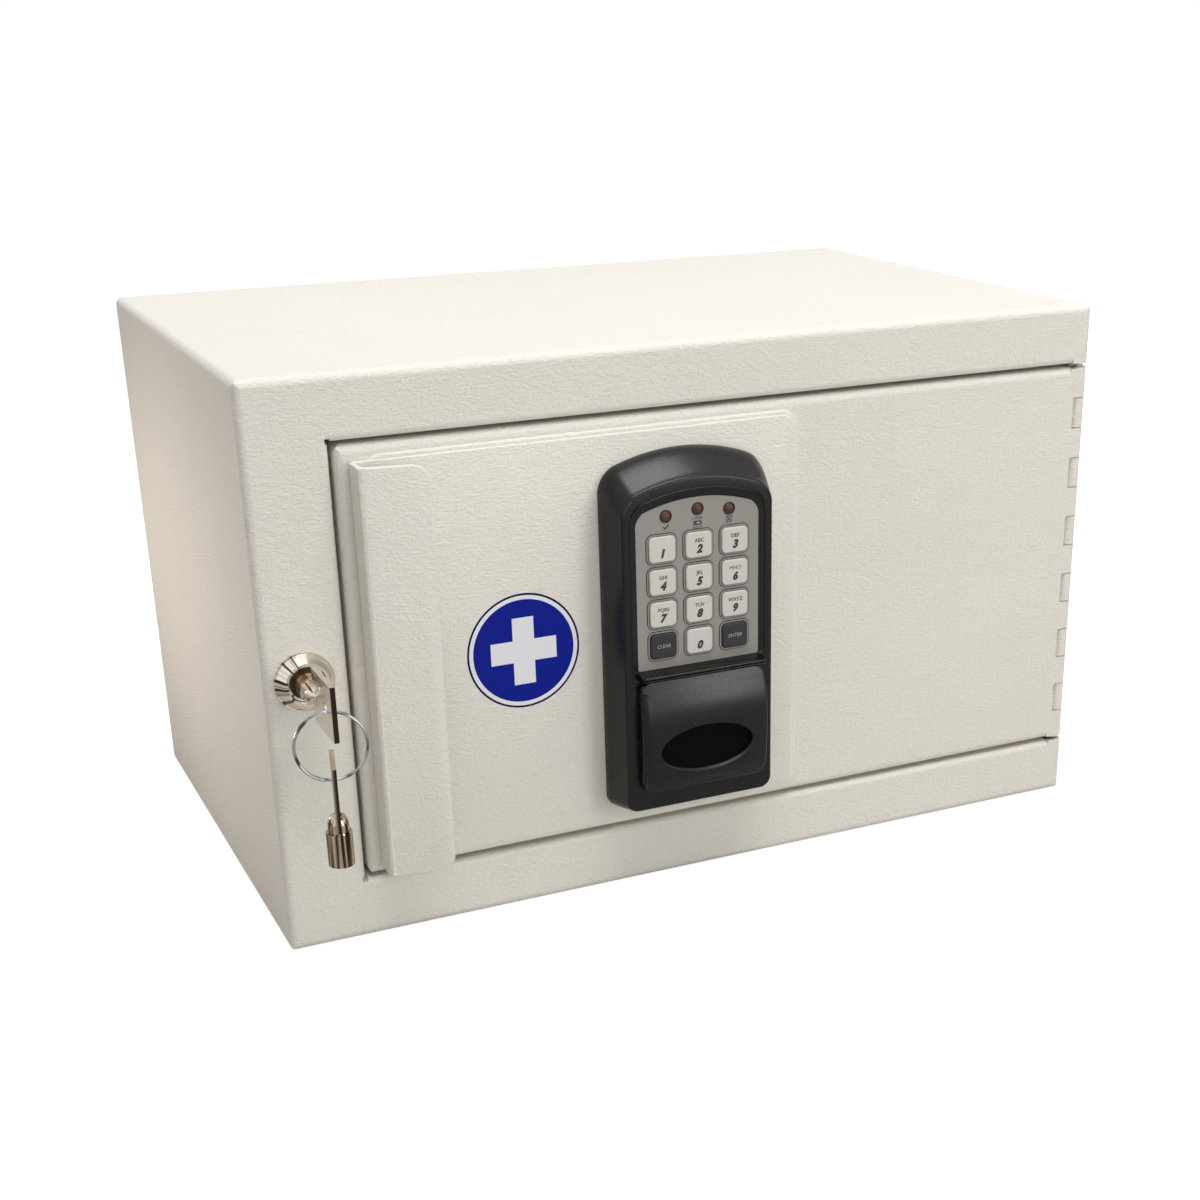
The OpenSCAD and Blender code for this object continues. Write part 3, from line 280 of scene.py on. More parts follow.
# Grain as its scale, the share of finer grain, its height in metres and its strength
PAINT_GRAIN = 520.0, 0.35, 0.0007, 1.0
PRINT_GRAIN = 430.0, 0.35, 0.00012, 0.4
PLASTIC_GRAIN = 2600.0, 0.4, 0.00005, 0.4
KEY_GRAIN = 2800.0, 0.4, 0.00002, 0.3
METAL_GRAIN = 900.0, 0.5, 0.00002, 0.3
# Part of the grain's height over which the roughness varies, and of the mottle that turns dark
GRAIN_RANGE = 0.3, 0.7
MOTTLE_RANGE = 0.35, 0.7


def material(name, base, rough, metallic=0.0, grain=None, spread=0.0, mottle=0.0, dark=None,
             coat=0.0, coat_rough=0.1, shine=0.5, stretch=1.0):
    """Paint, plastic, metal or print with grain, a roughness that varies over the grain, and
    slow patches of a darker colour."""
    m = bpy.data.materials.new(name)
    m.use_nodes = True
    t = m.node_tree
    p = t.nodes["Principled BSDF"]
    put(t, p, Base_Color=base, Roughness=rough, Metallic=metallic, Specular_IOR_Level=shine,
        Coat_Weight=coat, Coat_Roughness=coat_rough)
    g = add(t, "Group", node_tree=GRAIN)
    if grain:
        scale, fine, height, strength = grain
        put(t, g, Scale=scale, Fine=fine, Stretch=(1.0, 1.0, stretch))
        bump = put(t, add(t, "Bump"), Distance=height, Strength=strength,
                   Height=g.outputs["Height"])
        put(t, p, Normal=bump.outputs[0])
    if spread:
        put(t, p, Roughness=remap(t, g.outputs["Height"], *GRAIN_RANGE, rough - spread,
                                  rough + spread))
    if dark:
        patches = remap(t, g.outputs["Mottle"], *MOTTLE_RANGE, 0.0, mottle)
        put(t, p, Base_Color=blend(t, patches, base, dark))
    return m


def polished(name, bright, dark, rough, group, **values):
    """Polished metal with a painted dark reflection where a shader group says so."""
    m = material(name, bright, rough, 1.0, grain=METAL_GRAIN, spread=0.04)
    t = m.node_tree
    where = put(t, add(t, "Group", node_tree=group), **values).outputs["Dark"]
    put(t, t.nodes["Principled BSDF"], Base_Color=blend(t, where, bright, dark))
    return m


PAINT = material("powder_coat", colour(0.775, 0.75, 0.69), 0.5, grain=PAINT_GRAIN, spread=0.10,
                 mottle=0.5, dark=colour(0.745, 0.70, 0.645), shine=0.4, stretch=1.9)
NICKEL = material("nickel_plate", colour(0.70, 0.66, 0.59), 0.16, 1.0, grain=METAL_GRAIN,
                  spread=0.05, mottle=0.6, dark=colour(0.52, 0.48, 0.41))
ZINC = material("zinc_plate", colour(0.62, 0.64, 0.67), 0.28, 1.0,
                grain=(700.0, 0.5, 0.00003, 0.3), spread=0.08, mottle=0.6,
                dark=colour(0.48, 0.49, 0.50))
BLACK = material("black_housing", colour(0.003, 0.0035, 0.0035), 0.27, grain=PLASTIC_GRAIN,
                 spread=0.07, mottle=0.5, dark=colour(0.005, 0.0055, 0.0055), shine=0.34)
# Darker, almost unshining plastic for the recess floor: painted shade
RECESS_SHADE_BLACK = material("recess_painted_shade", colour(0.002, 0.002, 0.002), 0.8, grain=PLASTIC_GRAIN,
                      spread=0.07, mottle=0.5, dark=colour(0.003, 0.003, 0.003), shine=0.06)
GREY = material("grey_fascia", colour(0.28, 0.268, 0.248), 0.5,
                grain=(3200.0, 0.4, 0.00002, 0.3), spread=0.05, mottle=0.5,
                dark=colour(0.25, 0.238, 0.222))
KEY_WHITE = material("key_white", colour(0.60, 0.585, 0.545), 0.42, grain=KEY_GRAIN, spread=0.05,
                     mottle=0.4, dark=colour(0.54, 0.525, 0.485))
KEY_DARK = material("key_dark", colour(0.028, 0.029, 0.033), 0.42, grain=KEY_GRAIN, spread=0.05,
                    mottle=0.5, dark=colour(0.038, 0.038, 0.041), shine=0.3)
LENS = material("lamp_red", colour(0.105, 0.042, 0.032), 0.35, mottle=0.6,
                dark=colour(0.06, 0.024, 0.02), shine=0.3)
COLLAR = material("lamp_collar", colour(0.014, 0.008, 0.007), 0.3, mottle=0.5,
                  dark=colour(0.035, 0.018, 0.015))
BOARD = material("circuit_green", colour(0.02, 0.10, 0.045), 0.35,
                 grain=(1500.0, 0.4, 0.00003, 0.3), mottle=0.5, dark=colour(0.015, 0.07, 0.03))
CELL = material("cell_sleeve", colour(0.10, 0.10, 0.11), 0.3, mottle=0.5,
                dark=colour(0.30, 0.20, 0.06), coat=0.5)
CABLE = material("cable_rubber", colour(0.02, 0.02, 0.02), 0.6,
                 grain=(2500.0, 0.4, 0.00003, 0.4), spread=0.05)
BRASS = material("brass", colour(0.65, 0.45, 0.18), 0.25, 1.0, grain=(1200.0, 0.5, 0.00002, 0.3),
                 spread=0.06, mottle=0.5, dark=colour(0.45, 0.30, 0.12))
# Ink for print; the black and the grey are also laid as painted shade in the gaps and grooves round
# the keys
INK_AND_SHADE = material("black_ink_and_painted_shade", colour(0.02, 0.02, 0.022), 0.45, mottle=0.5,
               dark=colour(0.035, 0.035, 0.04))
FAINT_INK_AND_SHADE = material("grey_ink_and_painted_shade", colour(0.014, 0.014, 0.016), 0.45, mottle=0.5,
                     dark=colour(0.03, 0.03, 0.033))
PALE_INK = material("pale_ink", colour(0.32, 0.32, 0.33), 0.45, mottle=0.5,
                    dark=colour(0.24, 0.24, 0.25))
BLUE = material("blue_print", colour(0.001, 0.010, 0.26), 0.45, grain=PRINT_GRAIN, spread=0.05,
                mottle=0.5, dark=colour(0.001, 0.008, 0.22), shine=0.12)
NAVY = material("navy_print", colour(0.002, 0.004, 0.055), 0.45, grain=PRINT_GRAIN, spread=0.05,
                mottle=0.5, dark=colour(0.002, 0.003, 0.04), shine=0.12)
WHITE = material("white_print", colour(0.76, 0.77, 0.82), 0.34, grain=PRINT_GRAIN, spread=0.05,
                 mottle=0.5, dark=colour(0.70, 0.70, 0.73))

# Painted reflection: the colour the polished pieces show where they would mirror the dark
REFLECTED_DARK = colour(0.03, 0.02, 0.012)
BOW_EDGE_REFLECTED_DARK = colour(0.05, 0.03, 0.022)
BOW_EDGE = 0.45 * MM
BOW_BLUR = 0.3 * MM

# Tubes, ring, bezel and bows get painted dark reflections, and the bezel painted shade in its mouth
TUBE = polished("nickel_tube", colour(0.60, 0.50, 0.36), REFLECTED_DARK, 0.13, REFLECTION_STREAKS,
                Across=(720.0, 720.0, 14.0), Low=0.42, High=0.64)
KEY_TUBE = polished("nickel_key_tube", colour(0.74, 0.65, 0.55), REFLECTED_DARK, 0.14, REFLECTION_STREAKS,
                    Across=(420.0, 14.0, 420.0), Low=0.52, High=0.66)
RING = polished("ring_steel", colour(0.42, 0.44, 0.47), colour(0.07, 0.075, 0.085), 0.2, REFLECTION_STREAKS,
                Across=(150.0, 150.0, 150.0), Low=0.42, High=0.6)
BEZEL = polished("nickel_bezel", colour(0.78, 0.72, 0.62), colour(0.06, 0.05, 0.035), 0.12, BEZEL_REFLECTION_AND_SHADE,
                 Count=7.0, Low=0.60, High=0.67, Ring=BEZEL_MOUTH)
BOW = polished("nickel_bow", colour(0.78, 0.73, 0.66), BOW_EDGE_REFLECTED_DARK, 0.2, BOW_EDGE_REFLECTION,
               Front=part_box("key_bow")[0].y + BOW_EDGE, Deep=BOW_BLUR)
SPARE_BOW = polished("nickel_spare_bow", colour(0.72, 0.64, 0.52), BOW_EDGE_REFLECTED_DARK, 0.2, BOW_EDGE_REFLECTION,
                     Front=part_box("spare_key_bow")[0].y + BOW_EDGE, Deep=BOW_BLUR)

LOOKS = {
    PAINT: ("cabinet_shell", "back_panel", "hinge_leaf", "door_panel", "edge_angle", "pull_plate"),
    NICKEL: ("hinge_pin", "battery_contacts"),
    TUBE: ("spare_key_tube",),
    KEY_TUBE: ("key_tube",),
    BEZEL: ("cam_lock_body", "lock_plug"),
    BOW: ("key_bow",),
    SPARE_BOW: ("spare_key_bow",),
    RING: ("split_ring",),
    ZINC: ("cam_lock_nut", "lock_cam", "cam_nut", "mounting_screws", "lock_case", "lock_case_lid",
           "lid_screws", "latch_bolt", "bolt_guide", "lock_motor"),
    BLACK: ("keypad_housing", "battery_cover"),
    GREY: ("keypad_fascia",),
    KEY_WHITE: tuple("key_%d" % n for n in range(10)),
    KEY_DARK: ("key_clear", "key_enter"),
    LENS: ("lamp_lenses",),
    BOARD: ("circuit_board",),
    CELL: ("battery_cells",),
    CABLE: ("keypad_cable",),
    BRASS: ("drive_pinion",),
}


def dress(o, look):
    """Gives an object one material in place of any it has."""
    o.data.materials.clear()
    o.data.materials.append(look)


for look, names in LOOKS.items():
    for name in names:
        dress(nodes[name], look)


# ---------------------------------------------------------------- modelling helpers

def clear_selection():
    """Leaves edit mode with nothing selected."""
    if bpy.context.mode != "OBJECT":
        bpy.ops.object.mode_set(mode="OBJECT")
    bpy.ops.object.select_all(action="DESELECT")


def place_of(name):
    """Middle of a node seen from the front, and its front face, as x, y and z."""
    low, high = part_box(name)
    return (low.x + high.x) / 2, low.y, (low.z + high.z) / 2


def start_editing():
    """Takes the size and turn of what was just added into its mesh, and opens the mesh."""
    bpy.ops.object.transform_apply(location=True, rotation=True, scale=True)
    bpy.ops.object.mode_set(mode="EDIT")
    return bpy.context.object


def finish_piece(name, body, look, smooth=30.0):
    """Names the active new piece, moves its place into its mesh, gives it its look and its body."""
    o = bpy.context.object
    if bpy.context.mode != "OBJECT":
        bpy.ops.object.mode_set(mode="OBJECT")
    bpy.ops.object.transform_apply(location=True, rotation=True, scale=True)
    bpy.ops.object.shade_smooth_by_angle(angle=math.radians(smooth))
    o.name = name
    o.data.name = name
    dress(o, look)
    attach(o, body)
    clear_selection()
    return o


def pick(kind, test):
    """Selects, in edit mode, only the verts, edges or faces whose middle passes the test."""
    o = bpy.context.object
    bpy.ops.mesh.select_mode(type=kind)
    bpy.ops.mesh.select_all(action="DESELECT")
    b = bmesh.from_edit_mesh(o.data)
    things = {"VERT": b.verts, "EDGE": b.edges, "FACE": b.faces}[kind]
    for t in things:
        if kind == "VERT":
            middle = t.co
        elif kind == "EDGE":
            middle = (t.verts[0].co + t.verts[1].co) / 2
        else:
            middle = t.calc_center_median()
        t.select_set(bool(test(middle, t)))
    b.select_flush_mode()
    bmesh.update_edit_mesh(o.data)


def runs_along(e, axis):
    """Whether an edge runs along X (0), Y (1) or Z (2)."""
    one, other = e.verts
    return all(abs(one.co[k] - other.co[k]) < TINY for k in range(3) if k != axis)


def along_y(c, e):
    return runs_along(e, 1)


def along_z(c, e):
    return runs_along(e, 2)


def in_front(c, f):
    return f.normal.y < -FACING


def front_or_back(c, f):
    return abs(f.normal.y) > FACING


def is_sharp(e):
    return e.calc_face_angle(0) > SHARP


def push(x, y, z):
    """Extrudes what is picked."""
    bpy.ops.mesh.extrude_region_move(TRANSFORM_OT_translate={"value": (x, y, z)})


def slice_at(place, normal, **options):
    """Cuts the whole mesh along a plane."""
    bpy.ops.mesh.select_all(action="SELECT")
    bpy.ops.mesh.bisect(plane_co=place, plane_no=normal, **options)


def open_middle(line):
    """Leaves of a flat block only a line round its edge."""
    pick("FACE", front_or_back)
    bpy.ops.mesh.inset(thickness=line, depth=0)
    bpy.ops.mesh.bridge_edge_loops()


def add_cube(low, high):
    """Block between two corners, as the active object in edit mode."""
    clear_selection()
    low, high = Vector(low), Vector(high)
    bpy.ops.mesh.primitive_cube_add(size=1, location=(low + high) / 2)
    bpy.context.object.scale = high - low
    return start_editing()


def add_disc(place, radius, depth, sides):
    """Disc that faces the front, as the active object in edit mode."""
    clear_selection()
    bpy.ops.mesh.primitive_cylinder_add(vertices=sides, radius=radius, depth=depth,
                                        location=place, rotation=FORWARD)
    return start_editing()


def cut_away(piece, cutter):
    """Cuts one block out of another for good."""
    bpy.ops.object.mode_set(mode="OBJECT")
    clear_selection()
    piece.select_set(True)
    bpy.context.view_layer.objects.active = piece
    m = piece.modifiers.new("cut", "BOOLEAN")
    m.operation = "DIFFERENCE"
    m.solver = "EXACT"
    m.object = cutter
    bpy.ops.object.modifier_apply(modifier="cut")
    bpy.data.objects.remove(cutter)


# ---------------------------------------------------------------- pull plate on the door

PULL_IN = 2 * MM
PULL_WIDE = 24.4 * MM
PULL_LEAN = 4.6 * MM
PULL_RIM_R = 0.6 * MM
PLATE_CORNER = 6 * MM

SEAT_RIM = 1.7 * MM
SEAT_DEEP = 1.2 * MM
SEAT_IN = 6 * MM
SEAT_RIM_R = 1.0 * MM


def make_pull_plate():
    """Sheet flat on the door, out at the left, then back over the door as the pull, which leans
    outwards."""
    low, high = PLATE
    low = low + Vector((PULL_IN, 0, 0))
    add_cube((low.x, high.y - SHEET, low.z), high)
    wall = low.x + SHEET
    slice_at((wall, 0, 0), (1, 0, 0))
    pick("FACE", lambda c, f: in_front(c, f) and c.x < wall)
    out = low.y + PULL_LEAN
    push(0, out - high.y + SHEET, 0)
    slice_at((0, out + SHEET, 0), (0, 1, 0))
    pick("FACE", lambda c, f: f.normal.x > FACING and c.y < out + SHEET)
    push(PULL_WIDE - SHEET, -PULL_LEAN, 0)
    ends = low.x + PULL_WIDE, high.x
    pick("EDGE", lambda c, e: along_y(c, e) and any(abs(c.x - x) < TINY for x in ends))
    bpy.ops.mesh.bevel(offset=PLATE_CORNER, segments=9)
    bends = ((low.x, out, 2.9), (low.x, high.y, 2.4),
             (wall, out + SHEET, 1.0), (wall, high.y - SHEET, 0.6))
    for x, y, turn in bends:
        pick("EDGE", lambda c, e: along_z(c, e) and abs(c.x - x) < TINY and abs(c.y - y) < TINY)
        bpy.ops.mesh.bevel(offset=turn * MM, segments=6)
    pick("EDGE", lambda c, e: is_sharp(e))
    bpy.ops.mesh.bevel(offset=PULL_RIM_R, segments=3)
    plate = finish_piece("pull_plate_shell", "door", PAINT)
    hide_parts("pull_plate")


def make_plate_seat():
    """Low seat of paint and filler that shows as a rim round the plate."""
    low, high = PLATE
    add_cube((low.x + SEAT_IN, high.y - SEAT_DEEP, low.z - SEAT_RIM),
             (high.x + SEAT_RIM, high.y + 0.1 * MM, high.z + SEAT_RIM))
    pick("EDGE", along_y)
    bpy.ops.mesh.bevel(offset=PLATE_CORNER + SEAT_RIM, segments=9)
    pick("EDGE", lambda c, e: c.y < high.y - 1 * MM and is_sharp(e))
    bpy.ops.mesh.bevel(offset=SEAT_RIM_R, segments=4)
    finish_piece("plate_seat", "door", PAINT)


# ---------------------------------------------------------------- keypad housing

# The skirt stands upright, then the sides draw in to a rounded crest round the rim
SKIRT = 2.4 * MM
CREST = 1.1 * MM
DRAW_IN = 2.65 * MM
FOOT_RISE = 1.8 * MM
TOP_FALL = 8 * MM
TAPER_STEPS = 9
CREST_STEPS = 4
# Above 1 the taper starts slowly and ends fast
SIDE_CURVE = 1.2
TOP_CURVE = 1.3
# Radius of the arch, of the corners over it and of those at the foot
PAD_ROUNDS = 80 * MM, 6.8 * MM, 5 * MM
WELL_ROUNDS = 68 * MM, 4.4 * MM, 1 * MM
BEAD_ROUNDS = 71 * MM, 6.2 * MM, 1 * MM
ARCH_CUTS = 14

WELL_GAP = 0.1 * MM
WELL_START = 0.9 * MM
WELL_BEHIND = 6 * MM
# How far the well's lip flares out, and how far in front of its start
LIP = (0.4, 0.2), (1.9, 0.42), (2.25, 0.6), (2.4, 0.9), (2.45, 2.0)
LIP_TOP = 1.4

BEAD_HIGH = 0.24 * MM
BEAD_WIDE = 0.5 * MM
BEAD_R = 0.2 * MM
BEAD_OUT = 2.85 * MM
BEAD_BELOW = 0.4 * MM
BEAD_ABOVE = 3.75 * MM
BEAD_END = 2 * MM

BAY_SIDE = 2.75 * MM
BAY_FOOT = 1.9 * MM
BAY_TOP = 1 * MM
BAY_BACK = 3.6 * MM
BAY_R = 1.5 * MM

# Bars under the fascia: the drop of the top, the height, how far out, the top's fall, the edge
SHELF = 0.1 * MM, 1.7 * MM, 5.9 * MM, 0.7 * MM, 0.45 * MM
RIB = 2.15 * MM, 0.6 * MM, 5.6 * MM, 0, 0.25 * MM
BAR_R = 2.2 * MM


def arched_block(half, low, high, rounds, back, front):
    """Block with an arched top, sized from the housing's foot, left in edit mode."""
    crown, top_r, low_r = rounds
    middle = PAD_Z + (low + high) / 2
    o = add_cube((PAD_X - half, front, PAD_Z + low), (PAD_X + half, back, PAD_Z + high))
    pick("EDGE", lambda c, e: along_y(c, e) and c.z > middle)
    bpy.ops.mesh.bevel(offset=top_r, segments=8)
    pick("EDGE", lambda c, e: along_y(c, e) and c.z < middle)
    bpy.ops.mesh.bevel(offset=low_r, segments=6)
    for k in range(1, ARCH_CUTS):
        x = PAD_X + (half - top_r) * (2 * k / ARCH_CUTS - 1)
        slice_at((x, 0, 0), (1, 0, 0))
    above = PAD_Z + high - top_r - TINY
    for x in columns(o, lambda v: v.co.x - PAD_X):
        pick("VERT", lambda c, v: c.z > above and abs(c.x - PAD_X - x) < 1.1 * TINY)
        bpy.ops.transform.translate(value=(0, 0, math.sqrt(crown * crown - x * x) - crown))
    return o


def columns(o, measure):
    """Where the verts of the mesh in edit mode lie by some measure, each place once."""
    return sorted({round(measure(v), 5) for v in bmesh.from_edit_mesh(o.data).verts})


def draw_out(y, sides, low, high):
    """Extrudes the chosen front faces to y and fits them to new sides, foot and top."""
    verts = [v for v in bmesh.from_edit_mesh(bpy.context.object.data).verts if v.select]
    old_y = verts[0].co.y
    old_half = max(v.co.x for v in verts) - PAD_X
    old_low = min(v.co.z for v in verts)
    old_high = max(v.co.z for v in verts)
    push(0, y - old_y, 0)
    bpy.ops.transform.resize(value=(sides / old_half, 1, (high - low) / (old_high - old_low)),
                             center_override=(PAD_X, y, old_low))
    bpy.ops.transform.translate(value=(0, 0, PAD_Z + low - old_low))


def make_housing():
    """Arched shell that tapers to a rounded crest, open at the fascia and behind the cover."""
    half = (PAD[1].x - PAD[0].x) / 2
    high = PAD[1].z - PAD[0].z
    o = arched_block(half, 0, high, PAD_ROUNDS, PAD_Y, PAD_Y - SKIRT)
    pick("FACE", in_front)
    for k in range(1, TAPER_STEPS + 1):
        t = k / TAPER_STEPS
        y = PAD_Y - SKIRT - t * (PAD_Y - SKIRT - CREST - RIM_Y)
        draw_out(y, half - DRAW_IN * t ** SIDE_CURVE, FOOT_RISE * t,
                 high - TOP_FALL * t ** TOP_CURVE)
    for k in range(1, CREST_STEPS + 1):
        turn = math.pi / 2 * k / CREST_STEPS
        fall = CREST * (1 - math.cos(turn))
        draw_out(RIM_Y + CREST - CREST * math.sin(turn), half - DRAW_IN - fall, FOOT_RISE + fall,
                 high - TOP_FALL - fall)
    cut_away(o, fascia_well())
    cut_away(o, battery_bay())
    shell = finish_piece("housing_shell", "door", BLACK)
    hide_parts("keypad_housing")


def fascia_well():
    """Opening for the fascia, flared out to a soft lip at the rim."""
    low = FASCIA[0].z - PAD_Z - WELL_GAP
    high = FASCIA[1].z - PAD_Z + WELL_GAP
    half = (FASCIA[1].x - FASCIA[0].x) / 2 + WELL_GAP
    front = RIM_Y + WELL_START
    o = arched_block(half, low, high, WELL_ROUNDS, FASCIA[1].y + WELL_BEHIND, front)
    pick("FACE", in_front)
    for out, rise in LIP:
        draw_out(front - rise * MM, half + out * MM, low - WELL_GAP, high + LIP_TOP * out * MM)
    bpy.ops.object.mode_set(mode="OBJECT")
    return o


def battery_bay():
    """Room in the housing behind the battery cover."""
    side = (COVER[1].x - COVER[0].x) / 2 - BAY_SIDE
    o = add_cube((PAD_X - side, RIM_Y - 1 * MM, COVER[0].z + BAY_FOOT),
                 (PAD_X + side, PAD_Y - BAY_BACK, COVER[1].z - BAY_TOP))
    pick("EDGE", along_y)
    bpy.ops.mesh.bevel(offset=BAY_R, segments=3)
    bpy.ops.object.mode_set(mode="OBJECT")
    return o


def make_bead():
    """Fine raised bead along the lip of the fascia's well."""
    low = FASCIA[0].z - PAD_Z - BEAD_BELOW
    high = FASCIA[1].z - PAD_Z + BEAD_ABOVE
    half = (FASCIA[1].x - FASCIA[0].x) / 2 + BEAD_OUT
    arched_block(half, low, high, BEAD_ROUNDS, RIM_Y + 0.3 * MM, RIM_Y - BEAD_HIGH)
    open_middle(BEAD_WIDE)
    pick("EDGE", lambda c, e: c.y < RIM_Y - BEAD_R and is_sharp(e))
    bpy.ops.mesh.bevel(offset=BEAD_R, segments=3)
    slice_at((0, 0, FASCIA[0].z + BEAD_END), (0, 0, 1), use_fill=True, clear_inner=True)
    finish_piece("housing_bead", "door", BLACK)


def make_bar(name, drop, high, out, fall, round_off):
    """Bar across the housing between the fascia and the cover, its top so far under the
    fascia's foot and falling towards a rounded front."""
    half = (COVER[1].x - COVER[0].x) / 2
    top = FASCIA[0].z - drop
    add_cube((PAD_X - half, RIM_Y - out, top - high), (PAD_X + half, RIM_Y + 1 * MM, top))
    pick("EDGE", lambda c, e: along_z(c, e) and c.y < RIM_Y)
    bpy.ops.mesh.bevel(offset=BAR_R, segments=6)
    pick("VERT", lambda c, v: c.z > top - TINY and c.y < RIM_Y)
    bpy.ops.transform.translate(value=(0, 0, -fall))
    pick("EDGE", lambda c, e: c.y < RIM_Y and not along_y(c, e) and not along_z(c, e))
    bpy.ops.mesh.bevel(offset=round_off, segments=3)
    finish_piece(name, "door", BLACK)


# ---------------------------------------------------------------- battery cover

# From its top down the cover's face slopes, turns upright, and rolls under below its middle
COVER_SLOPE = 0.30
SLOPE_END = 8 * MM
UPRIGHT_FROM = 20 * MM
ROLL_UNDER = 3.0 * MM
COVER_R = 4.5 * MM
COVER_SIDE_R = 3.6 * MM
COVER_EDGE_R = 1.1 * MM
COVER_CUTS = 26
COVER_BACK = 0.15 * MM

# The oval recess for a thumb: its half width and half height, its depth and its middle
SCOOP = 20.2 * MM, 9.3 * MM
SCOOP_FLOOR = 19.6 * MM, 8.8 * MM
SCOOP_RIM = 20.9 * MM, 10.0 * MM
SCOOP_DEEP = 3 * MM
SCOOP_X = (COVER[0].x + COVER[1].x) / 2
SCOOP_Z = (COVER[0].z + COVER[1].z) / 2 - 6 * MM
SCOOP_TAPER = 0.965, 1, 0.94
SCOOP_EDGE_R = 0.35 * MM
# What counts as the recess's edge, as a share of its oval squared
RIM_BAND = 0.8, 1.15
DISH_STEPS = 4
DISH_STEP = 1.6 * MM
DISH_FALL = 0.06 * MM
RIM_FLAT = 0.2 * MM
RIM_CHAMFER = 0.75 * MM


def crown_depth(z):
    """How far the cover's face falls back at a height."""
    below = COVER[1].z - z
    if below < SLOPE_END:
        return COVER_SLOPE * ((SLOPE_END + UPRIGHT_FROM) / 2 - below)
    if below < UPRIGHT_FROM:
        return COVER_SLOPE * (UPRIGHT_FROM - below) ** 2 / (2 * (UPRIGHT_FROM - SLOPE_END))
    reach = (COVER[1].z - COVER[0].z) / 2
    return ROLL_UNDER * max((below - reach) / reach, 0) ** 3


def make_cover():
    """Crowned cover with rounded sides and an oval recess for a thumb."""
    low, high = Vector(COVER[0]), Vector(COVER[1])
    high.y = RIM_Y - COVER_BACK
    o = add_cube(low, high)
    pick("EDGE", along_y)
    bpy.ops.mesh.bevel(offset=COVER_R, segments=7)
    for k in range(1, COVER_CUTS):
        slice_at((0, 0, low.z + (high.z - low.z) * k / COVER_CUTS), (0, 0, 1))
    for z in columns(o, lambda v: v.co.z):
        pick("VERT", lambda c, v: c.y < low.y + TINY and abs(c.z - z) < 1.1 * TINY)
        bpy.ops.transform.translate(value=(0, crown_depth(z), 0))
    before = high.y - TINY
    pick("EDGE", lambda c, e: c.y < before and c.x < low.x + TINY and is_sharp(e))
    bpy.ops.mesh.bevel(offset=COVER_SIDE_R, segments=6)
    pick("EDGE", lambda c, e: c.y < before and is_sharp(e))
    bpy.ops.mesh.bevel(offset=COVER_EDGE_R, segments=4)
    cut_away(o, thumb_scoop())
    bpy.ops.object.mode_set(mode="EDIT")

    def on_rim(c, e):
        ring = ((c.x - SCOOP_X) / SCOOP[0]) ** 2 + ((c.z - SCOOP_Z) / SCOOP[1]) ** 2
        near = RIM_BAND[0] < ring < RIM_BAND[1] and c.y < low.y + 1.2 * MM
        return near and e.calc_face_angle(0) > math.radians(30)

    pick("EDGE", on_rim)
    bpy.ops.mesh.remove_doubles(threshold=0.45 * MM)
    pick("EDGE", on_rim)
    bpy.ops.mesh.bevel(offset=SCOOP_EDGE_R, segments=3)
    shell = finish_piece("battery_cover_shell", "cover", BLACK)
    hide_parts("battery_cover")


def oval(size, front, back):
    """Oval disc at the recess, left in edit mode."""
    clear_selection()
    bpy.ops.mesh.primitive_cylinder_add(vertices=80, radius=1, depth=1, rotation=FORWARD,
                                        location=(SCOOP_X, (front + back) / 2, SCOOP_Z))
    bpy.context.object.scale = (*size, back - front)
    return start_editing()


def thumb_scoop():
    """What the recess takes off: oval, a little narrower at its floor."""
    o = oval(SCOOP, COVER[0].y - 2 * MM, COVER[0].y + SCOOP_DEEP)
    pick("FACE", lambda c, f: f.normal.y > FACING)
    bpy.ops.transform.resize(value=SCOOP_TAPER)
    bpy.ops.object.mode_set(mode="OBJECT")
    return o


def scoop_floor():
    """Matt floor of the recess, dished a little, darker and almost without shine as painted shade.
    """
    y = COVER[0].y + SCOOP_DEEP
    oval(SCOOP_FLOOR, y - 0.5 * MM, y + 0.3 * MM)
    for _ in range(DISH_STEPS):
        pick("FACE", lambda c, f: in_front(c, f) and abs(f.normal.z) < 0.2)
        bpy.ops.mesh.inset(thickness=DISH_STEP, depth=-DISH_FALL)
    finish_piece("recess_floor", "cover", RECESS_SHADE_BLACK)


def scoop_rim():
    """Chamfered rim of the recess: its lower half looks up and catches the light."""
    y = COVER[0].y
    oval(SCOOP_RIM, y - 0.02 * MM, y + 1.6 * MM)
    pick("FACE", in_front)
    bpy.ops.mesh.inset(thickness=RIM_FLAT, depth=0)
    bpy.ops.mesh.inset(thickness=RIM_CHAMFER, depth=-RIM_CHAMFER)
    pick("FACE", lambda c, f: len(f.verts) > 8)
    bpy.ops.mesh.bridge_edge_loops()
    finish_piece("recess_rim", "cover", BLACK, 20.0)


# ---------------------------------------------------------------- printed keys and signs

PRINT = 0.03 * MM

# Letters over each digit, and how far their tails reach below the line
LETTERS = {2: ("ABC", 0), 3: ("DEF", 0), 4: ("GHI", 0), 5: ("JKL", 0.36 * MM), 6: ("MNO", 0),
           7: ("PQRS", 0.2 * MM), 8: ("TUV", 0), 9: ("WXYZ", 0)}
# Each kind of print: its height, its slant and its weight
DIGIT_PRINT = 3.45 * MM, 0.26, 0.06
LEGEND_PRINT = 1.4 * MM, 0.12, 0.01
LETTER_HIGH = 1.5 * MM
LETTER_WEIGHT = 0.022
# Where the digit and the letters stand off the key's middle
DIGIT_AT = 0.2 * MM, -1.55 * MM
LETTERS_AT = 0.1 * MM, 1.75 * MM

KEYS = [str(n) for n in range(1, 10)] + ["0", "clear", "enter"]
CAP = 10.9 * MM, 9.8 * MM
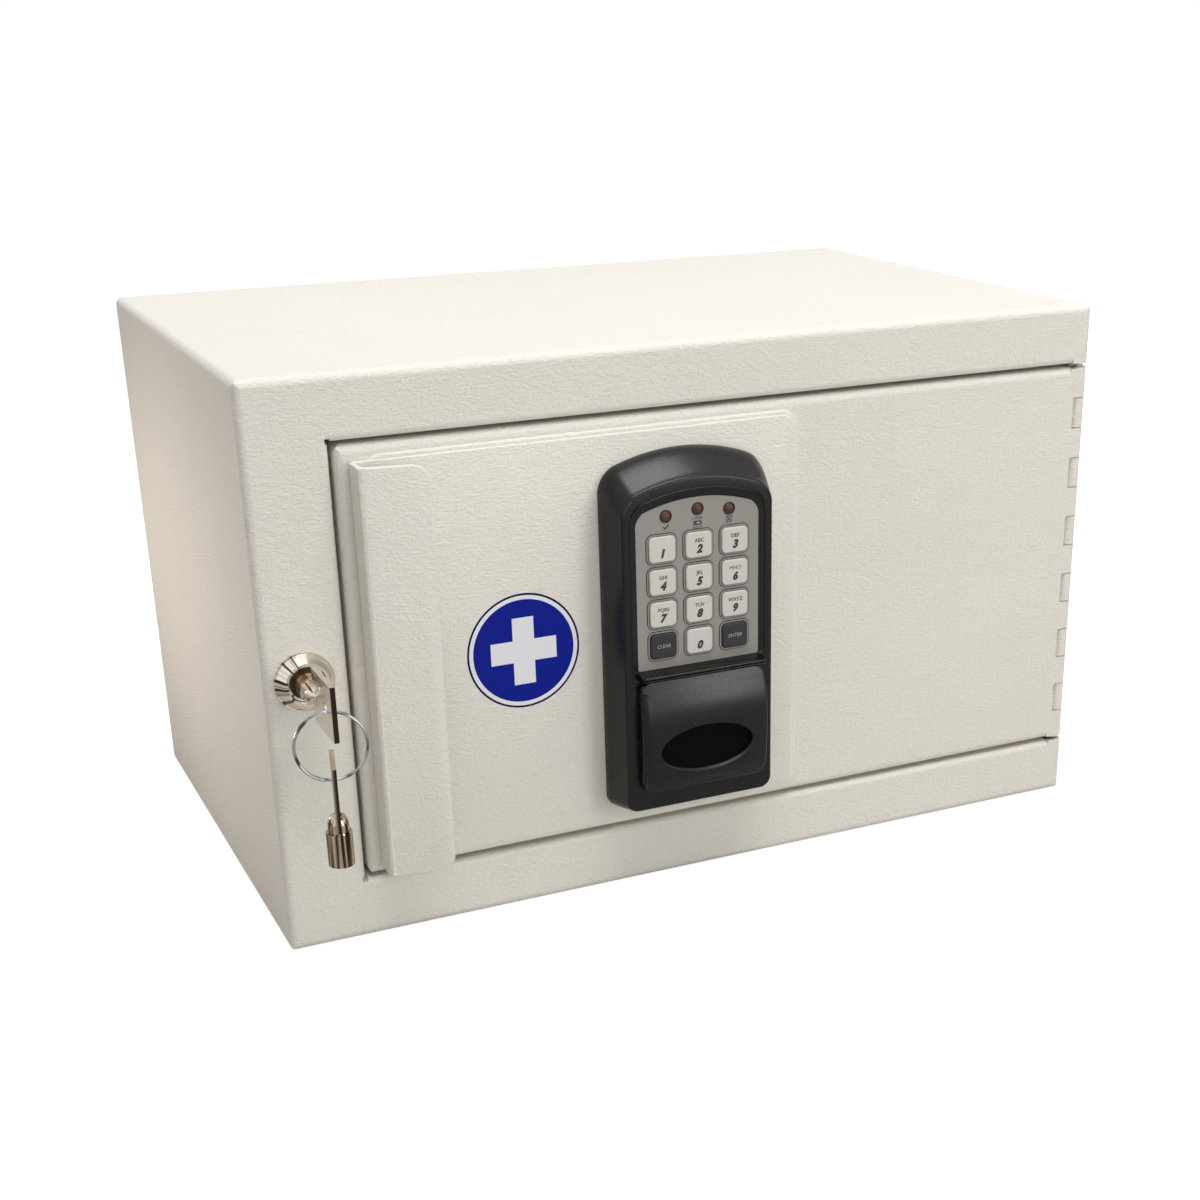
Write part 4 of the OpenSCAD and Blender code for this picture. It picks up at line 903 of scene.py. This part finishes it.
# Painted shade round each key, as dark frames in its gap and in the groove round its rim: how far
# out a frame's outer edge is, its corner's radius, its width, and how far it reaches out of the
# fascia and into it
KEY_GAP_SHADE = 0.25 * MM, 2.05 * MM, 0.22 * MM, 0.27 * MM, 0.3 * MM
KEY_GROOVE_SHADE = 1.1 * MM, 2.9 * MM, 0.42 * MM, 0.02 * MM, 0.2 * MM

# Signs under the lamps: the outer ones' drop, and the middle ones' rows
SIGN_DROP = 4.1 * MM
WORD_HIGH = 1.05 * MM
LOW_DROP = 3.55 * MM
CELL_DROP = 5.4 * MM
BATT_DROP = 7.25 * MM
SIGN_WEIGHT = 0.012
# Strokes from and to an x and z off a sign's middle, and their width, in mm
TICK = (-1.05, 0.1), (-0.35, -0.6), 0.75
TICK_RISE = 1.6 * MM, 0, 1.5 * MM
CHARGE = (-1.2, 0), (-0.45, 0), 0.9
NUB = (1.4, 0), (1.85, 0), 0.8
CROSS_UP = (-0.72, -0.72), (0.72, 0.72), 0.5
CROSS_DOWN = (-0.72, 0.72), (0.72, -0.72), 0.5
# Printed boxes: how far off the sign's middle, their width, height and line
CELL_BOX = -0.2 * MM, 3.2 * MM, 1.75 * MM, 0.42 * MM
CROSS_BOX = 0, 2.5 * MM, 2.5 * MM, 0.26 * MM

# Collar round each lamp
COLLAR_R = 2.58 * MM
COLLAR_DEEP = 0.9 * MM
COLLAR_SUNK = 0.35 * MM
COLLAR_WALL = 0.5 * MM
COLLAR_EDGE_R = 0.14 * MM


def add_print(name, body, words, look, slot, place, height, slant=0.0, weight=0.0, stretch=1.0):
    """Raised print of some characters on a face that looks forward, centred on a place."""
    clear_selection()
    bpy.ops.object.text_add(location=place, rotation=FORWARD)
    o = bpy.context.object
    o.data.body = words
    o.data.align_x = "CENTER"
    o.data.align_y = "CENTER"
    o.data.resolution_u = 5
    o.data.shear = slant
    o.data.offset = weight
    o.data.extrude = 0.004
    bpy.context.view_layer.update()
    size = height / o.dimensions.y
    o.scale = (size * stretch, size, size)
    bpy.ops.object.convert(target="MESH")
    o = start_editing()
    bpy.ops.mesh.select_all(action="SELECT")
    box = [o.matrix_world @ Vector(c) for c in o.bound_box]
    middle = (box[0] + box[6]) / 2
    deep = abs(box[0].y - box[6].y)
    bpy.ops.transform.resize(value=(1, 2 * PRINT / deep, 1), center_override=place)
    bpy.ops.transform.translate(value=(place[0] - middle.x, 0, place[2] - middle.z))
    finish_piece(name, body, look)


def print_keys():
    """Digits and letters on the light keys, words on the dark ones."""
    for digit in range(10):
        x, y, z = place_of("key_%d" % digit)
        add_print("digit_%d" % digit, "press_%d" % digit, str(digit), INK_AND_SHADE, "cable",
                  (x + DIGIT_AT[0], y, z + DIGIT_AT[1]), *DIGIT_PRINT)
        if digit in LETTERS:
            word, drop = LETTERS[digit]
            # An M fills up when it is made heavier
            weight = 0.0 if "M" in word else LETTER_WEIGHT
            add_print("letters_%d" % digit, "press_%d" % digit, word, FAINT_INK_AND_SHADE, "cable",
                      (x + LETTERS_AT[0], y, z + LETTERS_AT[1] - drop / 2), LETTER_HIGH + drop,
                      0.0, weight)
    for word in ("clear", "enter"):
        add_print("legend_" + word, "press_" + word, word.upper(), PALE_INK, "grey_plastic",
                  place_of("key_" + word), *LEGEND_PRINT)


def key_frame(x, z, out, radius, line, proud, sunk):
    """Line with rounded corners round a key, left in edit mode."""
    half_x, half_z = CAP[0] / 2 + out, CAP[1] / 2 + out
    add_cube((x - half_x, FASCIA_Y - proud, z - half_z),
             (x + half_x, FASCIA_Y + sunk, z + half_z))
    pick("EDGE", along_y)
    bpy.ops.mesh.bevel(offset=radius, segments=6)
    open_middle(line)


def copy_piece(piece, name, move):
    """Another of a finished piece, with its own mesh moved to its place."""
    clear_selection()
    o = piece.copy()
    o.data = piece.data.copy()
    o.data.name = name
    o.name = name
    bpy.context.scene.collection.objects.link(o)
    o.select_set(True)
    bpy.context.view_layer.objects.active = o
    bpy.ops.object.mode_set(mode="EDIT")
    bpy.ops.mesh.select_all(action="SELECT")
    bpy.ops.transform.translate(value=move)
    bpy.ops.object.mode_set(mode="OBJECT")
    clear_selection()
    return o


def outline_keys():
    """Painted shade: a dark frame in the gap round each key, and a dark frame in the groove round
    its raised rim.
    """
    x, _, z = place_of("key_1")
    key_frame(x, z, *KEY_GAP_SHADE)
    gap_shade = finish_piece("key_seal_1", "door", INK_AND_SHADE)
    key_frame(x, z, *KEY_GROOVE_SHADE)
    line = finish_piece("key_line_1", "door", FAINT_INK_AND_SHADE)
    for key in KEYS[1:]:
        other_x, _, other_z = place_of("key_" + key)
        for piece, slot, name in ((gap_shade, "black_plastic", "key_seal_"),
                                  (line, "cable", "key_line_")):
            o = copy_piece(piece, name + key, (other_x - x, 0, other_z - z))
            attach(o, "door")


def stroke(x, z, start, end, wide):
    """Flat printed stroke near a sign's middle, left in edit mode."""
    (x0, z0), (x1, z1) = start, end
    left, half = x + x0 * MM, wide * MM / 2
    add_cube((left - 0.02 * MM, FASCIA_Y - PRINT, z + z0 * MM - half),
             (left, FASCIA_Y + PRINT, z + z0 * MM + half))
    pick("FACE", lambda c, f: f.normal.x > FACING)
    push((x1 - x0) * MM, 0, (z1 - z0) * MM)


def printed_box(x, z, off, wide, high, line):
    """Printed outline of a rectangle, left in edit mode."""
    x = x + off
    add_cube((x - wide / 2, FASCIA_Y - PRINT, z - high / 2),
             (x + wide / 2, FASCIA_Y + PRINT, z + high / 2))
    open_middle(line)


def finish_sign(name):
    """Ends a sign as ink on the fascia."""
    finish_piece(name, "door", INK_AND_SHADE)


def print_signs():
    """Tick under the left lamp, LOW BATT with a cell under the middle one, and a crossed box
    under the right one."""
    x, z = LAMPS[0]
    stroke(x, z - SIGN_DROP, *TICK)
    push(*TICK_RISE)
    finish_sign("sign_tick")

    x, z = LAMPS[1]
    add_print("sign_low", "door", "LOW", INK_AND_SHADE, "cable", (x, FASCIA_Y, z - LOW_DROP), WORD_HIGH,
              0, SIGN_WEIGHT, 1.25)
    add_print("sign_batt", "door", "BATT", INK_AND_SHADE, "cable", (x, FASCIA_Y, z - BATT_DROP), WORD_HIGH,
              0, SIGN_WEIGHT, 1.05)
    printed_box(x, z - CELL_DROP, *CELL_BOX)
    finish_sign("sign_cell")
    stroke(x, z - CELL_DROP, *CHARGE)
    finish_sign("sign_charge")
    stroke(x, z - CELL_DROP, *NUB)
    finish_sign("sign_nub")

    x, z = LAMPS[2]
    printed_box(x, z - SIGN_DROP, *CROSS_BOX)
    finish_sign("sign_box")
    for name, mark in (("sign_cross_up", CROSS_UP), ("sign_cross_down", CROSS_DOWN)):
        stroke(x, z - SIGN_DROP, *mark)
        finish_sign(name)


def lamp_rings():
    """Dark collar round each lamp."""
    for k, (x, z) in enumerate(LAMPS):
        add_disc((x, FASCIA_Y + COLLAR_SUNK, z), COLLAR_R, COLLAR_DEEP, 40)
        open_middle(COLLAR_WALL)
        pick("EDGE", lambda c, e: c.y < FASCIA_Y and is_sharp(e))
        bpy.ops.mesh.bevel(offset=COLLAR_EDGE_R, segments=2)
        finish_piece("lamp_ring_%d" % (k + 1), "door", COLLAR)


# ---------------------------------------------------------------- emblem on the plate

EMBLEM = Vector((PAD_X - 66.3 * MM, PLATE_FRONT, 106.2 * MM))
EMBLEM_R = 22.6 * MM
EMBLEM_THICK = 0.1 * MM
# Each ring's outside as a share of the disc's, from the rim in
EMBLEM_RINGS = (1.0, NAVY), (0.965, WHITE), (0.895, BLUE)
CROSS_ARM = 13.2 * MM
CROSS_HALF = 4.3 * MM
CROSS_PROUD = 0.09 * MM
CROSS_SUNK = 0.02 * MM


def print_emblem():
    """Blue first-aid disc with a thin white ring and a white cross."""
    for k, (share, look) in enumerate(EMBLEM_RINGS):
        add_disc(EMBLEM, EMBLEM_R * share, EMBLEM_THICK, 96)
        if k + 1 < len(EMBLEM_RINGS):
            open_middle(EMBLEM_R * (share - EMBLEM_RINGS[k + 1][0]))
        else:
            pick("FACE", front_or_back)
            bpy.ops.mesh.inset(thickness=EMBLEM_R * share * 0.5, depth=0)
        finish_piece("emblem_ring_%d" % (k + 1), "door", look)
    add_cube(EMBLEM - Vector((CROSS_HALF, CROSS_PROUD, CROSS_HALF)),
             EMBLEM + Vector((CROSS_HALF, CROSS_SUNK, CROSS_HALF)))
    for way in ((1, 0, 0), (-1, 0, 0), (0, 0, 1), (0, 0, -1)):
        way = Vector(way)
        pick("FACE", lambda c, f: f.normal.dot(way) > FACING and (c - EMBLEM).length < 6 * MM)
        push(*way * (CROSS_ARM - CROSS_HALF))
    finish_piece("emblem_cross", "door", WHITE)


# ---------------------------------------------------------------- lamps and stage

# How white the floor and the world are where they are seen straight, and in a gloss
FLOOR_GLOW = 0.8, 0.0
WORLD_GLOW = 1.0, 1.0
FLOOR_SIZE = 30.0
FLOOR_COLOUR = colour(0.49, 0.48, 0.465)
PURE_WHITE = colour(1, 1, 1)
# The room's dim light below and above, by height from 0 to 1
ROOM_LOW = 0.35, colour(0.20, 0.195, 0.185)
ROOM_HIGH = 0.75, colour(0.46, 0.46, 0.46)

WARM = 1.0, 0.985, 0.955
SUNNY = 1.0, 0.85, 0.70
# Each lamp's place, what it looks at, its width and height, its power, colour and spread
LIGHTS = {
    "overhead": ((0.05, -0.35, 1.5), (0, 0, 0.1), 0.9, 0.9, 16.0, (1.0, 1.0, 1.0), 180),
    "front": ((-0.1, -1.8, 0.05), (0, -0.1, 0.06), 1.0, 1.0, 5.0, WARM, 180),
    "key": ((0.80, -1.50, 0.50), (0, -0.1, 0.1), 0.45, 0.75, 6.3, WARM, 180),
    "left": ((-0.50, 0.42, 0.10), (-0.178, 0.03, 0.105), 0.12, 0.12, 0.058, SUNNY, 35),
}


def area_lamp(name, place, aim, wide, high, power, tint, spread):
    """Soft square lamp that looks at a place."""
    data = bpy.data.lights.new(name, "AREA")
    data.shape = "RECTANGLE"
    data.size = wide
    data.size_y = high
    data.energy = power
    data.color = tint
    data.spread = math.radians(spread)
    o = bpy.data.objects.new(name, data)
    o.location = place
    o.rotation_euler = (Vector(aim) - Vector(place)).to_track_quat("-Z", "Y").to_euler()
    bpy.context.scene.collection.objects.link(o)


def seen_mask(tree, straight, gloss):
    """How white the background is where it is seen straight or through glass, and in a gloss."""
    path = add(tree, "LightPath").outputs
    seen = calc(tree, "MULTIPLY", path["Is Camera Ray"], straight)
    for label, amount in (("Is Transmission Ray", straight), ("Is Glossy Ray", gloss)):
        share = calc(tree, "MULTIPLY", path[label], amount)
        seen = calc(tree, "MAXIMUM", seen.outputs[0], share.outputs[0])
    return seen.outputs[0]


def make_floor():
    """White floor that keeps the cabinet's shadow."""
    clear_selection()
    bpy.ops.mesh.primitive_plane_add(size=FLOOR_SIZE, location=(0, 0, 0))
    floor = bpy.context.object
    floor.name = "floor"
    m = bpy.data.materials.new("floor_white")
    m.use_nodes = True
    t = m.node_tree
    matt = put(t, t.nodes["Principled BSDF"], Base_Color=FLOOR_COLOUR, Roughness=0.9)
    glow = put(t, add(t, "Emission"), Color=PURE_WHITE, Strength=seen_mask(t, *FLOOR_GLOW))
    both = add(t, "AddShader")
    feed(t, both.inputs[0], matt.outputs[0])
    feed(t, both.inputs[1], glow.outputs[0])
    put(t, t.nodes["Material Output"], Surface=both.outputs[0])
    dress(floor, m)
    clear_selection()


def make_world():
    """White where it is seen, and a dim room that is lighter above as a light."""
    world = bpy.data.worlds.new("studio")
    bpy.context.scene.world = world
    world.use_nodes = True
    t = world.node_tree
    view = put(t, add(t, "SeparateXYZ"), Vector=add(t, "TexCoord").outputs["Generated"])
    ramp = add(t, "ValToRGB")
    for element, (position, tone) in zip(ramp.color_ramp.elements, (ROOM_LOW, ROOM_HIGH)):
        element.position = position
        element.color = tone
    put(t, ramp, Fac=remap(t, view.outputs["Z"], -1.0, 1.0))
    room = blend(t, seen_mask(t, *WORLD_GLOW), ramp.outputs[0], PURE_WHITE)
    put(t, t.nodes["Background"], Color=room)


make_camera()

make_pull_plate()
make_plate_seat()

make_housing()
make_bar("housing_shelf", *SHELF)
make_bar("housing_rib", *RIB)
make_bead()
make_cover()
scoop_floor()
scoop_rim()

print_keys()
outline_keys()
print_signs()
lamp_rings()
print_emblem()

make_floor()
make_world()
for name, light in LIGHTS.items():
    area_lamp(name, *light)
